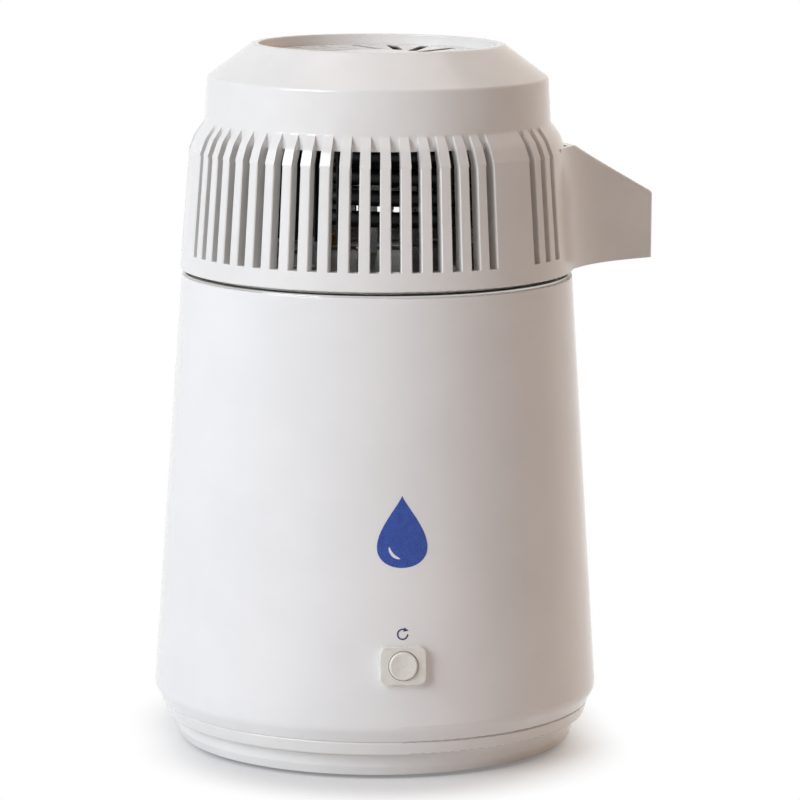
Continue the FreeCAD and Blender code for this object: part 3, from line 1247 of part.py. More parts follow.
def fin_angles():
    """Fins all round the coil, left out where the two tubes pass."""
    angles = []
    margin = math.degrees((TUBE_R + FITTING_WALL + FIN_CLEARANCE) / COIL_R)
    outlet_end = COIL_END_ANGLE + math.degrees(math.acos(COIL_R / (COIL_R + FIN_DEPTH / 2 + TUBE_R)))
    coil_start = COIL_START_ANGLE % 360
    riser = coil_start - math.degrees(math.atan2(RISER_OFFSET, COIL_R))
    for angle in even_angles(FIN_COUNT, 180.0 / FIN_COUNT):
        beside_outlet = COIL_END_ANGLE - margin < angle < outlet_end + margin
        beside_riser = riser - margin < angle < coil_start + margin
        beside_post = any(abs(angle - post) < margin for post in post_angles())
        if not (beside_outlet or beside_riser or beside_post):
            angles.append(angle)
    return angles


def make_condenser_fins():
    """Thin radial plates threaded on the coil."""
    low = COIL_Z - FIN_BELOW_COIL
    high = COIL_TOP_Z + FIN_ABOVE_COIL
    inner = COIL_R - FIN_DEPTH / 2
    fins = []
    for angle in fin_angles():
        fin = block(-FIN_SHEET / 2, FIN_SHEET / 2, -inner - FIN_DEPTH, -inner, low, high)
        holes = [Part.makeCylinder(TUBE_R + FIN_HOLE_GAP, 2 * CUT_OVER, Vector(-CUT_OVER, -COIL_R, level),
                                   Vector(1, 0, 0)) for level in coil_levels(angle)]
        fins.append(spun(fin.cut(Part.makeCompound(holes)), angle))
    return fins


# ---------------------------------------------------------------- fan motor
def bracket_angles():
    return even_angles(BRACKET_LEGS, BRACKET_FIRST_ANGLE)


def stud_ring_r():
    return BRACKET_LEG_R + BRACKET_FOOT / 2 + BRACKET_SHEET / 2


def make_motor_bracket():
    """Bent steel stand: round plate under the motor and three legs on the lid plate."""
    top_z = BRACKET_Z + BRACKET_SHEET
    half = BRACKET_LEG_WIDTH / 2
    stand = cylinder(BRACKET_R, BRACKET_Z, top_z)
    outer = BRACKET_LEG_R + BRACKET_SHEET
    arm = block(-half, half, -outer, BRACKET_ARM_OVERLAP - BRACKET_R, BRACKET_Z, top_z)
    leg = block(-half, half, -outer, -BRACKET_LEG_R, LID_TOP_Z, top_z)
    foot = block(-half, half, -BRACKET_LEG_R - BRACKET_FOOT, -BRACKET_LEG_R, LID_TOP_Z,
                 LID_TOP_Z + BRACKET_SHEET)
    hole = cylinder(M3_R + HOLE_OVER_SCREW, LID_TOP_Z - CUT_OVER, LID_TOP_Z + BRACKET_SHEET + CUT_OVER,
                    0, -stud_ring_r())
    one_leg = joined(arm, leg, foot).cut(hole)
    stand = joined(stand, *around(one_leg, bracket_angles()))
    for x in (-MOTOR_SCREW_X, MOTOR_SCREW_X):
        stand = stand.cut(cylinder(M3_R + HOLE_OVER_SCREW, BRACKET_Z - CUT_OVER, top_z + CUT_OVER, x))
    return stand


def make_bracket_studs():
    stud = cylinder(M3_R, LID_TOP_Z, LID_TOP_Z + STUD_LENGTH, 0, -stud_ring_r())
    return around(stud, bracket_angles())


def make_bracket_nuts():
    one = nut(NUT_M3_FLATS, M3_R + RUNNING_GAP, LID_TOP_Z + BRACKET_SHEET, NUT_M3_HEIGHT, 0, -stud_ring_r())
    return around(one, bracket_angles())


def make_stator_core():
    """Laminated C-frame: bore for the rotor, window and back leg for the winding."""
    half = CORE_WIDTH / 2
    core = block(-half, half, -CORE_FRONT, CORE_BACK, CORE_Z, CORE_TOP_Z)
    window_back = CORE_BACK - CORE_LEG
    window_front = ROTOR_R + ROTOR_AIR_GAP + CORE_WEB
    window = block(-CORE_WINDOW_WIDTH / 2, CORE_WINDOW_WIDTH / 2, window_front, window_back,
                   CORE_Z - CUT_OVER, CORE_TOP_Z + CUT_OVER)
    core = core.cut(window).cut(cylinder(ROTOR_R + ROTOR_AIR_GAP, CORE_Z - CUT_OVER, CORE_TOP_Z + CUT_OVER))
    for x in (-MOTOR_SCREW_X, MOTOR_SCREW_X):
        core = core.cut(cylinder(M3_R + HOLE_OVER_SCREW, CORE_Z - CUT_OVER, CORE_TOP_Z + CUT_OVER, x))
    return core


def make_stator_winding():
    """Bobbin of wire round the core's back leg."""
    half = WINDING_WIDTH / 2
    front = CORE_BACK - CORE_LEG
    outer = block(-half, half, front - WINDING_OVER, CORE_BACK + WINDING_OVER,
                  CORE_Z - WINDING_OVER, CORE_TOP_Z + WINDING_OVER)
    hole = block(-half - CUT_OVER, half + CUT_OVER, front - WINDING_GAP, CORE_BACK + WINDING_GAP,
                 CORE_Z - WINDING_GAP, CORE_TOP_Z + WINDING_GAP)
    return outer.cut(hole)


def bridge(face_z, rise, bearing_z):
    """Bearing bridge across the core; rise is negative below the core."""
    half = CORE_WIDTH / 2
    side = BRIDGE_WIDTH / 2
    bar_near = face_z + rise
    bar_far = bar_near + math.copysign(BRIDGE_SHEET, rise)
    bar = block(-half, half, -side, side, min(bar_near, bar_far), max(bar_near, bar_far))
    posts = []
    for sign in (-1, 1):
        x = sign * MOTOR_SCREW_X
        posts.append(block(x - BRIDGE_POST_WIDTH / 2, x + BRIDGE_POST_WIDTH / 2, -side, side,
                           min(face_z, bar_near), max(face_z, bar_near)))
    boss = cylinder(BEARING_R, bearing_z, bearing_z + BEARING_HEIGHT)
    low = min(face_z, bar_far, bearing_z) - CUT_OVER
    high = max(face_z, bar_far, bearing_z + BEARING_HEIGHT) + CUT_OVER
    holes = [cylinder(SHAFT_R + RUNNING_GAP, low, high)]
    for sign in (-1, 1):
        holes.append(cylinder(M3_R + HOLE_OVER_SCREW, low, high, sign * MOTOR_SCREW_X))
    return joined(bar, boss, *posts).cut(Part.makeCompound(holes))


def make_motor_bridges():
    lower_gap = CORE_LIFT - BRIDGE_SHEET
    lower = bridge(CORE_Z, -lower_gap, BRACKET_Z + BRACKET_SHEET)
    upper = bridge(CORE_TOP_Z, BRIDGE_RISE, CORE_TOP_Z + BRIDGE_RISE)
    return [lower, upper]


def make_motor_screws():
    seat_z = CORE_TOP_Z + BRIDGE_RISE + BRIDGE_SHEET
    tip_z = BRACKET_Z - NUT_M3_HEIGHT - THREAD_PROUD
    return [screw(M3_R, MOTOR_HEAD_R, MOTOR_HEAD_HEIGHT, seat_z, tip_z, x)
            for x in (-MOTOR_SCREW_X, MOTOR_SCREW_X)]


def make_motor_nuts():
    return [nut(NUT_M3_FLATS, M3_R + RUNNING_GAP, BRACKET_Z - NUT_M3_HEIGHT, NUT_M3_HEIGHT, x)
            for x in (-MOTOR_SCREW_X, MOTOR_SCREW_X)]


# ---------------------------------------------------------------- what the motor turns
def make_fan_shaft():
    return cylinder(SHAFT_R, BRACKET_Z + BRACKET_SHEET + BODY_GAP, HUB_TOP_Z + SHAFT_PROUD)


def make_motor_rotor():
    return tube(SHAFT_R, ROTOR_R, CORE_Z, CORE_TOP_Z)


def make_fan_impeller():
    """Hub and pitched vanes pressed on the shaft."""
    low = HUB_TOP_Z - IMPELLER_HEIGHT
    hub = turned([
        (SHAFT_R, low, 0), (HUB_BOSS_R, low, 0), (HUB_BOSS_R, HUB_TOP_Z - HUB_WALL, 0),
        (HUB_R - HUB_WALL, HUB_TOP_Z - HUB_WALL, 0), (HUB_R - HUB_WALL, low, 0), (HUB_R, low, 0),
        (HUB_R, HUB_TOP_Z, HUB_ROUND), (SHAFT_R, HUB_TOP_Z, 0)])
    tip_r = DUCT_R - IMPELLER_GAP
    chord = VANE_RISE / math.sin(math.radians(VANE_PITCH))
    vane = plate(rectangle(chord, tip_r - HUB_R + 2 * VANE_CORNER, VANE_CORNER), -VANE_SHEET / 2, VANE_SHEET)
    vane.translate(Vector(0, -(tip_r + HUB_R) / 2, 0))
    vane.rotate(ORIGIN, Vector(0, 1, 0), VANE_PITCH)
    vane.translate(Vector(0, 0, HUB_TOP_Z - IMPELLER_HEIGHT / 2))
    swept_ring = tube(HUB_R - HUB_WALL / 2, tip_r, low, HUB_TOP_Z)
    vanes = [spun(vane, angle).common(swept_ring) for angle in even_angles(VANE_COUNT)]
    return joined(hub, *vanes)


def make_impeller_nut():
    return nut(NUT_M5_FLATS, SHAFT_R, HUB_TOP_Z, HUB_NUT_HEIGHT)


# ---------------------------------------------------------------- filter cup
def at_cup(shape):
    spot = polar(CUP_RING_R, SPOUT_ANGLE)
    return shape.translated(Vector(spot.x, spot.y, 0))


def make_filter_cup():
    """Push-in cup with a flange under the spout and a drip nozzle."""
    floor_top = CUP_FLANGE_Z + CUP_FLOOR
    flange_r = CUP_R + CUP_FLANGE_OVER
    cup = turned([
        (NOZZLE_BORE_R, CUP_FLANGE_Z - NOZZLE_DROP, 0), (NOZZLE_R, CUP_FLANGE_Z - NOZZLE_DROP, EDGE_ROUND),
        (NOZZLE_R, CUP_FLANGE_Z, 0), (flange_r, CUP_FLANGE_Z, EDGE_ROUND),
        (flange_r, CUP_FLANGE_Z + CUP_FLANGE_THICK, 0), (CUP_R, CUP_FLANGE_Z + CUP_FLANGE_THICK, 0),
        (CUP_R, CUP_TOP_Z, EDGE_ROUND), (CUP_R - CUP_WALL, CUP_TOP_Z, 0), (CUP_R - CUP_WALL, floor_top, 0),
        (NOZZLE_BORE_R, floor_top, 0)])
    return at_cup(cup)


def make_carbon_sachet():
    """Soft pad of carbon that lies in the cup."""
    bottom = CUP_FLANGE_Z + CUP_FLOOR
    radius = CUP_R - CUP_WALL - BODY_GAP
    sachet = turned([
        (0, bottom, 0), (radius, bottom, SACHET_ROUND), (radius, bottom + SACHET_HEIGHT, SACHET_ROUND),
        (0, bottom + SACHET_HEIGHT, 0)])
    return at_cup(sachet)


# ---------------------------------------------------------------- write every sub-part
def main():
    os.makedirs("parts", exist_ok=True)
    save("base_pan", make_base_pan())
    save("rubber_feet", *make_rubber_feet())
    save("foot_screws", *make_foot_screws())
    save("trim_ring", make_trim_ring())
    save("outer_shell", make_outer_shell())
    save("boiling_tank", make_boiling_tank())
    save("heater_plate", make_heater_plate())
    save("heater_element", make_heater_element())
    save("heater_terminals", *make_heater_terminals())
    save("boil_dry_thermostat", make_thermostat(-THERMOSTAT_SPACING / 2))
    save("safety_thermostat", make_thermostat(THERMOSTAT_SPACING / 2))
    save("thermostat_blades", *make_thermostat_blades())
    save("thermostat_strap", make_thermostat_strap())
    save("tie_rods", *make_tie_rods())
    save("tie_nuts", *make_tie_nuts())
    save("heat_shield", make_heat_shield())
    save("terminal_block", make_terminal_block())
    save("terminal_screws", *make_terminal_screws())
    save("reset_bezel", make_reset_bezel())
    save("reset_button", make_reset_button())
    save("reset_spring", make_reset_spring())
    save("reset_switch", make_reset_switch())
    save("reset_terminals", *make_reset_terminals())
    save("power_inlet", make_power_inlet())
    save("inlet_pins", *make_inlet_pins())
    save("inlet_screws", *make_inlet_screws())
    save("fan_socket", make_fan_socket())
    save("socket_sleeves", *make_socket_sleeves())
    save("hood", make_hood())
    save("lead_grommet", make_lead_grommet())
    save("top_grille", make_top_grille())
    save("lid_plate", make_lid_plate())
    save("lid_screws", *make_lid_screws())
    save("lid_gasket", make_lid_gasket())
    save("condenser_coil", make_condenser_coil())
    save("steam_tube", make_steam_tube())
    save("condensate_tube", make_condensate_tube())
    save("tube_fittings", *make_tube_fittings())
    save("condenser_fins", *make_condenser_fins())
    save("motor_bracket", make_motor_bracket())
    save("bracket_studs", *make_bracket_studs())
    save("bracket_nuts", *make_bracket_nuts())
    save("stator_core", make_stator_core())
    save("stator_winding", make_stator_winding())
    save("motor_bridges", *make_motor_bridges())
    save("motor_screws", *make_motor_screws())
    save("motor_nuts", *make_motor_nuts())
    save("fan_shaft", make_fan_shaft())
    save("motor_rotor", make_motor_rotor())
    save("fan_impeller", make_fan_impeller())
    save("impeller_nut", make_impeller_nut())
    save("filter_cup", make_filter_cup())
    save("carbon_sachet", make_carbon_sachet())


main()
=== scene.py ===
"""Countertop water distiller: finishes, soft and printed pieces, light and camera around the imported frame."""
import math

import bmesh
import bpy
from mathutils import Matrix, Vector


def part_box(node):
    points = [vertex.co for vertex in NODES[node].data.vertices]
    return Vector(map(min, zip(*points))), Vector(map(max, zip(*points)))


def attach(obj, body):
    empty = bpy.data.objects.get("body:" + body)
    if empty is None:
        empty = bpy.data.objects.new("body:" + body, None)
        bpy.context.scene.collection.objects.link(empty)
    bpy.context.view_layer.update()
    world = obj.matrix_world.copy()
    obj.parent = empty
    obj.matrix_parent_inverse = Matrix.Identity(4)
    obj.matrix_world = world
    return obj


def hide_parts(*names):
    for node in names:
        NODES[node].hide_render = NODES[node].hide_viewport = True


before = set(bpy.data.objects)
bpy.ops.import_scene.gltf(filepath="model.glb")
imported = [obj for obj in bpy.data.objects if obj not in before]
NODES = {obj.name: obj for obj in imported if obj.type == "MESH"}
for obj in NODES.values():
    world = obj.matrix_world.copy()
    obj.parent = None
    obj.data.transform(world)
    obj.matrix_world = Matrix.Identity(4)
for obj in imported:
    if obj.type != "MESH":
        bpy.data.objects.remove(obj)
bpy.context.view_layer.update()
MM = 0.001

# --- helpers for objects and materials ------------------------------------------------------------

# Noise seldom leaves this range, so a pattern goes from one end to the other across it.
NOISE_RANGE = {"From Min": 0.35, "From Max": 0.65}
# A wave texture's bands lie this far apart at a scale of 1.
WAVE_PITCH = math.pi / 10
# The sockets of a Mix node that take its two colours, and the one that gives the mixed colour.
MIX_FROM, MIX_TO, MIXED = 6, 7, 2
WHITE = (1, 1, 1, 1)
# Dark grey painted shade for the walls of slots below a piece's top.
SLOT_SHADE = "#4A4743"


def colour(code):
    """An sRGB hex value as linear red, green, blue and alpha."""
    parts = [int(code[i:i + 2], 16) / 255 for i in (1, 3, 5)]
    return tuple(p / 12.92 if p <= 0.04045 else ((p + 0.055) / 1.055) ** 2.4 for p in parts) + (1.0,)


def place_object(name, data):
    """Puts an object with this mesh, lamp or camera into the scene."""
    item = bpy.data.objects.new(name, data)
    bpy.context.scene.collection.objects.link(item)
    return item


def place_mesh(name, bm):
    """Puts a bmesh into the scene as an object, and frees the bmesh."""
    mesh = bpy.data.meshes.new(name)
    bm.to_mesh(mesh)
    bm.free()
    return place_object(name, mesh)


def add(tree, kind, settings=None, links=None):
    """Adds a node: settings are its properties or sockets by name or number, and links feed its sockets."""
    node = tree.nodes.new(kind)
    for name, value in (settings or {}).items():
        if isinstance(name, str) and hasattr(node, name):
            setattr(node, name, value)
        else:
            node.inputs[name].default_value = value
    for name, source in (links or {}).items():
        tree.links.new(source, node.inputs[name])
    return node


def bare_material(name):
    """A new material whose node tree is still empty, and that tree."""
    material = bpy.data.materials.new(name)
    material.use_nodes = True
    material.node_tree.nodes.clear()
    return material, material.node_tree


def surface(name, colours, roughness, grain_mm, patch_mm=None, run=(1, 1, 1), waves_mm=None, lines_mm=None,
            shade_mm=None, **constants):
    """A worked surface: its colour wanders between two, and a grain sets its gloss and relief.

    grain_mm is the size and depth of the grain, and run draws it out along the axes below 1. The colour
    wanders in patches of patch_mm, or in even lines, where lines_mm is their pitch, axis and depth. waves_mm
    is the size and depth of slow waves in the surface, the last pair in mm gives the level below a piece's top
    where a painted shade starts and the level where it is full, and constants go to the shader's sockets by
    their names.
    """
    material, tree = bare_material(name)
    grain_size, grain_depth = grain_mm
    smoothest, roughest = roughness
    place = add(tree, "ShaderNodeTexCoord").outputs["Object"]
    drawn = add(tree, "ShaderNodeMapping", {"Scale": run}, {"Vector": place}).outputs[0]
    grain = add(tree, "ShaderNodeTexNoise", {"Scale": 1 / (grain_size * MM), "Detail": 3.0},
                {"Vector": drawn}).outputs[0]
    gloss = add(tree, "ShaderNodeMapRange", {**NOISE_RANGE, "To Min": smoothest, "To Max": roughest},
                {"Value": grain})
    relief = add(tree, "ShaderNodeBump", {"Distance": grain_depth * MM}, {"Height": grain})
    if waves_mm:
        size, depth = waves_mm
        swell = add(tree, "ShaderNodeTexNoise", {"Scale": 1 / (size * MM), "Detail": 1.0}, {"Vector": place})
        relief = add(tree, "ShaderNodeBump", {"Distance": depth * MM},
                     {"Height": swell.outputs[0], "Normal": relief.outputs[0]})
    if lines_mm:
        pitch, axis, depth = lines_mm
        tone = add(tree, "ShaderNodeTexWave",
                   {"bands_direction": axis, "Scale": WAVE_PITCH / (pitch * MM), "Distortion": 0.6},
                   {"Vector": place}).outputs["Fac"]
        relief = add(tree, "ShaderNodeBump", {"Distance": depth * MM},
                     {"Height": tone, "Normal": relief.outputs[0]})
    else:
        patches = add(tree, "ShaderNodeTexNoise", {"Scale": 1 / (patch_mm * MM), "Detail": 3.0},
                      {"Vector": place})
        tone = add(tree, "ShaderNodeMapRange", NOISE_RANGE, {"Value": patches.outputs[0]}).outputs[0]
    first, second = (colour(code) for code in colours)
    tint = add(tree, "ShaderNodeMix", {"data_type": "RGBA", MIX_FROM: first, MIX_TO: second}, {0: tone})
    # Painted shade: below a level under the piece's top, the colour turns to a dark grey.
    if shade_mm:
        lit_level, shaded_level = shade_mm
        level = add(tree, "ShaderNodeSeparateXYZ", links={0: place}).outputs["Z"]
        shade_share = add(tree, "ShaderNodeMapRange", {"From Min": lit_level * MM, "From Max": shaded_level * MM},
                    {"Value": level})
        tint = add(tree, "ShaderNodeMix", {"data_type": "RGBA", MIX_TO: colour(SLOT_SHADE)},
                   {0: shade_share.outputs[0], MIX_FROM: tint.outputs[MIXED]})
    shader = add(tree, "ShaderNodeBsdfPrincipled",
                 {socket.replace("_", " "): value for socket, value in constants.items()},
                 {"Base Color": tint.outputs[MIXED], "Roughness": gloss.outputs[0],
                  "Normal": relief.outputs[0]})
    add(tree, "ShaderNodeOutputMaterial", links={"Surface": shader.outputs[0]})
    return material


def filter_paper():
    """Non-woven filter paper, heat sealed over crushed carbon: matt, fibrous, with grey grains behind it."""
    FIBRE_MM, FIBRE_RUN, FUZZ_MM = 0.5, (1.0, 0.2, 1.0), 0.04
    GRAIN_MM, GRAINS_FROM, GRAINS_TO, LUMP_MM = 1.3, 0.56, 0.68, 0.1
    material, tree = bare_material("filter_paper_heat_sealed")
    place = add(tree, "ShaderNodeTexCoord").outputs["Object"]
    drawn = add(tree, "ShaderNodeMapping", {"Scale": FIBRE_RUN}, {"Vector": place}).outputs[0]
    fibres = add(tree, "ShaderNodeTexNoise", {"Scale": 1 / (FIBRE_MM * MM), "Detail": 4.0}, {"Vector": drawn})
    grains = add(tree, "ShaderNodeTexNoise", {"Scale": 1 / (GRAIN_MM * MM), "Detail": 1.0}, {"Vector": place})
    cloth = add(tree, "ShaderNodeMix",
                {"data_type": "RGBA", MIX_FROM: colour("#D8D3C6"), MIX_TO: colour("#E6E2D8")},
                {0: fibres.outputs[0]})
    spots = add(tree, "ShaderNodeMapRange", {"From Min": GRAINS_FROM, "From Max": GRAINS_TO},
                {"Value": grains.outputs[0]})
    tint = add(tree, "ShaderNodeMix", {"data_type": "RGBA", MIX_TO: colour("#8F8C86")},
               {0: spots.outputs[0], MIX_FROM: cloth.outputs[MIXED]})
    fuzz = add(tree, "ShaderNodeBump", {"Distance": FUZZ_MM * MM}, {"Height": fibres.outputs[0]})
    lumps = add(tree, "ShaderNodeBump", {"Distance": LUMP_MM * MM},
                {"Height": grains.outputs[0], "Normal": fuzz.outputs[0]})
    shader = add(tree, "ShaderNodeBsdfPrincipled",
                 {"IOR": 1.45, "Roughness": 0.9, "Sheen Weight": 0.25, "Sheen Roughness": 0.5},
                 {"Base Color": tint.outputs[MIXED], "Normal": lumps.outputs[0]})
    add(tree, "ShaderNodeOutputMaterial", links={"Surface": shader.outputs[0]})
    return material


def dress(piece, material):
    """Gives a piece one material all over."""
    piece.data.materials.clear()
    piece.data.materials.append(material)
    for face in piece.data.polygons:
        face.material_index = 0


def dress_nodes(material, *names):
    """Puts a material on CAD nodes."""
    for name in names:
        dress(NODES[name], material)


# --- finishes -------------------------------------------------------------------------------------

# ABS, injection moulded in a polished tool: glossy, faintly wavy from uneven shrinkage.
white_abs = {"colours": ("#E9E8E5", "#EFEEEC"), "patch_mm": 38, "roughness": (0.13, 0.2),
             "grain_mm": (0.9, 0.0025), "waves_mm": (14, 0.03), "IOR": 1.54}
dress_nodes(surface("white_abs_moulded_gloss", **white_abs), "base_pan", "trim_ring", "hood")

# The same plastic over the fan, with dark grey painted shade on the walls of its slots below the top.
GRILLE_TOP_MM, SHADE_FROM_MM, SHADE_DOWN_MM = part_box("top_grille")[1][2] / MM, 1.1, 2.0
dress_nodes(surface("white_abs_moulded_painted_shade", **white_abs,
                    shade_mm=(GRILLE_TOP_MM - SHADE_FROM_MM, GRILLE_TOP_MM - SHADE_DOWN_MM)),
            "top_grille")

# Stove enamel sprayed on sheet steel: glossy, with the fine orange peel that sprayed enamel dries with.
dress_nodes(surface("white_stove_enamel_sprayed", ("#EBEBEA", "#F1F0EF"), patch_mm=60, roughness=(0.1, 0.16),
                    grain_mm=(1.8, 0.003), waves_mm=(30, 0.03), IOR=1.52),
            "outer_shell")

# Polypropylene, moulded, a little yellowed: satin, with a fine spark-eroded grain.
dress_nodes(surface("cream_plastic_moulded_satin", ("#E4E1D8", "#ECEAE3"), patch_mm=6, roughness=(0.2, 0.3),
                    grain_mm=(0.6, 0.0015), IOR=1.5),
            "reset_bezel")
dress_nodes(surface("button_plastic_moulded_satin", ("#E5E2DA", "#EDEBE5"), patch_mm=4,
                    roughness=(0.24, 0.34), grain_mm=(0.6, 0.0015), IOR=1.5),
            "reset_button")

# Moulded rubber: matt, with a dusty bloom.
dress_nodes(surface("black_rubber_moulded", ("#1B1B1C", "#29292A"), patch_mm=3, roughness=(0.68, 0.85),
                    grain_mm=(0.5, 0.02), IOR=1.52),
            "rubber_feet", "lead_grommet")

# Silicone rubber, moulded: milky, lets light in, soft gloss.
dress_nodes(surface("silicone_rubber_moulded", ("#D9D9D5", "#E6E6E3"), patch_mm=5, roughness=(0.4, 0.52),
                    grain_mm=(0.6, 0.01), IOR=1.43,
                    Subsurface_Weight=0.4, Subsurface_Radius=(0.004, 0.004, 0.004)),
            "lid_gasket")

# Stainless steel, deep drawn and brushed: fine lines run round the wall, drawn coarser than real to show.
dress_nodes(surface("stainless_steel_brushed", ("#C2C0BC", "#D0CECB"), patch_mm=45, roughness=(0.18, 0.32),
                    grain_mm=(0.8, 0.006), run=(0.035, 0.035, 1.0), Metallic=1.0),
            "boiling_tank", "steam_tube", "condensate_tube")

# Stainless steel as it leaves the mill, stamped: greyer and duller than brushed, with lines along it.
dress_nodes(surface("stainless_steel_mill_finish", ("#76736E", "#898681"), patch_mm=12,
                    roughness=(0.36, 0.48), grain_mm=(0.7, 0.006), run=(0.05, 1.0, 1.0), Metallic=1.0),
            "lid_plate")

# Zinc plating on steel: cool grey with a faint yellow and blue passivation.
dress_nodes(surface("zinc_plated_steel", ("#B4B9C2", "#CBC7B4"), patch_mm=9, roughness=(0.24, 0.38),
                    grain_mm=(0.5, 0.008), Metallic=1.0),
            "foot_screws", "thermostat_strap", "tie_rods", "tie_nuts", "heat_shield", "lid_screws",
            "motor_bracket", "bracket_studs", "bracket_nuts", "motor_bridges", "motor_screws", "motor_nuts",
            "inlet_screws", "impeller_nut")

# Spring wire and the ground shaft: darker and shinier than the plating, with lines along the shaft.
dress_nodes(surface("spring_and_shaft_steel_ground", ("#9A9B9D", "#B0B1B2"), patch_mm=2,
                    roughness=(0.15, 0.28), grain_mm=(0.4, 0.003), run=(1.0, 1.0, 0.1), Metallic=1.0),
            "reset_spring", "fan_shaft")

# Aluminium, cast: pale and dull, with a sandy skin.
dress_nodes(surface("aluminium_cast", ("#A9AAAB", "#BFC0C1"), patch_mm=4, roughness=(0.38, 0.55),
                    grain_mm=(0.7, 0.04), Metallic=1.0),
            "heater_plate", "motor_rotor")

# Painted shade: the finned coil is made near black all over, dipped as a whole in heat-proof lacquer, so that
# the inside of the hood reads dark; satin, thicker in places.
dress_nodes(surface("black_lacquer_painted_shade", ("#121315", "#1E1F22"), patch_mm=11, roughness=(0.34, 0.5),
                    grain_mm=(1.1, 0.012), IOR=1.5),
            "condenser_fins", "condenser_coil")

# Heater sheath, annealed: dark steel with straw and blue heat tints.
dress_nodes(surface("annealed_steel_sheath", ("#4A4C56", "#6E5F4C"), patch_mm=13, roughness=(0.38, 0.55),
                    grain_mm=(0.5, 0.01), Metallic=1.0),
            "heater_element")

# Brass, turned: yellow metal with fine tool rings.
dress_nodes(surface("brass_turned", ("#B8923F", "#CDAA5C"), patch_mm=3, roughness=(0.2, 0.34),
                    grain_mm=(0.35, 0.004), run=(0.1, 0.1, 1.0), Metallic=1.0),
            "heater_terminals", "thermostat_blades", "terminal_screws", "reset_terminals", "inlet_pins",
            "socket_sleeves", "tube_fittings")

# Glass-filled thermoplastic, moulded matt: black with a fine spark-eroded grain.
dress_nodes(surface("black_thermoplastic_moulded_matt", ("#161719", "#202123"), patch_mm=5,
                    roughness=(0.44, 0.58), grain_mm=(0.4, 0.015), IOR=1.5),
            "power_inlet", "fan_socket", "reset_switch", "boil_dry_thermostat", "safety_thermostat")

# Nylon, moulded in its natural colour: waxy off-white that lets a little light in.
dress_nodes(surface("natural_nylon_moulded", ("#D6D0BE", "#E0DCCE"), patch_mm=5, roughness=(0.32, 0.46),
                    grain_mm=(0.5, 0.008), IOR=1.53,
                    Subsurface_Weight=0.15, Subsurface_Radius=(0.002, 0.002, 0.002)),
            "terminal_block")

# Electrical steel, stamped and stacked: 0.5 mm sheets, drawn at 1 mm so that they show, under thin varnish.
dress_nodes(surface("lamination_steel_stacked", ("#2B2A2C", "#4A4644"), roughness=(0.34, 0.5),
                    grain_mm=(0.8, 0.01), lines_mm=(1.0, "Z", 0.06), Metallic=0.8),
            "stator_core")

# Cotton tape wound over the coil and varnished: amber brown, 5 mm wraps, glossy where the varnish pooled.
dress_nodes(surface("varnished_cotton_tape_wound", ("#6A3B17", "#8C5526"), roughness=(0.32, 0.5),
                    grain_mm=(0.4, 0.02), lines_mm=(5.0, "X", 0.25), IOR=1.5,
                    Coat_Weight=0.3, Coat_Roughness=0.2),
            "stator_winding")

# Glass-filled nylon, moulded: dark grey, its skin roughened by the short fibres.
dress_nodes(surface("dark_nylon_glass_filled", ("#1D1E20", "#2A2B2E"), patch_mm=5, roughness=(0.4, 0.54),
                    grain_mm=(0.6, 0.01), run=(1.0, 0.25, 1.0), IOR=1.53),
            "fan_impeller")

# Glazed porcelain: white and very glossy, with slow waves in the glaze.
dress_nodes(surface("porcelain_glazed", ("#EAEAE6", "#F1F1EE"), patch_mm=8, roughness=(0.06, 0.12),
                    grain_mm=(3.0, 0.004), waves_mm=(5, 0.03), IOR=1.52,
                    Coat_Weight=0.4, Coat_Roughness=0.04),
            "filter_cup")

paper = filter_paper()
dress_nodes(paper, "carbon_sachet")

# Pad-printed ink: a thin flat film, a little less glossy than the enamel below it.
ink_blue = surface("blue_ink_pad_printed", ("#22449A", "#2A4FA8"), patch_mm=3, roughness=(0.24, 0.34),
                   grain_mm=(1.0, 0.001), IOR=1.5)
ink_navy = surface("navy_ink_pad_printed", ("#26305E", "#303B6C"), patch_mm=1, roughness=(0.26, 0.36),
                   grain_mm=(0.8, 0.001), IOR=1.5)
ink_white = surface("white_ink_pad_printed", ("#E6E8EC", "#F0F1F3"), patch_mm=1.5, roughness=(0.26, 0.36),
                    grain_mm=(0.8, 0.001), IOR=1.5)

# --- helpers for pieces ---------------------------------------------------------------------------

# How thick a print is, how far its outer face stands off the wall, and how near vertices are merged.
INK_FILM, INK_PROUD, SEAM = 0.04 * MM, 0.06 * MM, 0.001 * MM

# The case wall's outline in the frame: its radius falls evenly from the widest level to the top.
CASE_WIDE_R, CASE_WIDE_Z = 114.6 * MM, 28.0 * MM
CASE_TOP_R, CASE_TOP_Z = 100.3 * MM, 242.2 * MM
CASE_LEAN = math.atan2(CASE_WIDE_R - CASE_TOP_R, CASE_TOP_Z - CASE_WIDE_Z)


def case_radius(height):
    """Radius of the case wall at a height."""
    share = (height - CASE_WIDE_Z) / (CASE_TOP_Z - CASE_WIDE_Z)
    return CASE_WIDE_R + share * (CASE_TOP_R - CASE_WIDE_R)


def make_piece(name, bm, material, body, sharp_degrees=40):
    """Turns a bmesh into a finished piece on a body, smooth except at edges sharper than an angle."""
    piece = place_mesh(name, bm)
    piece.data.shade_smooth()
    piece.data.set_sharp_from_angle(angle=math.radians(sharp_degrees))
    dress(piece, material)
    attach(piece, body)
    return piece


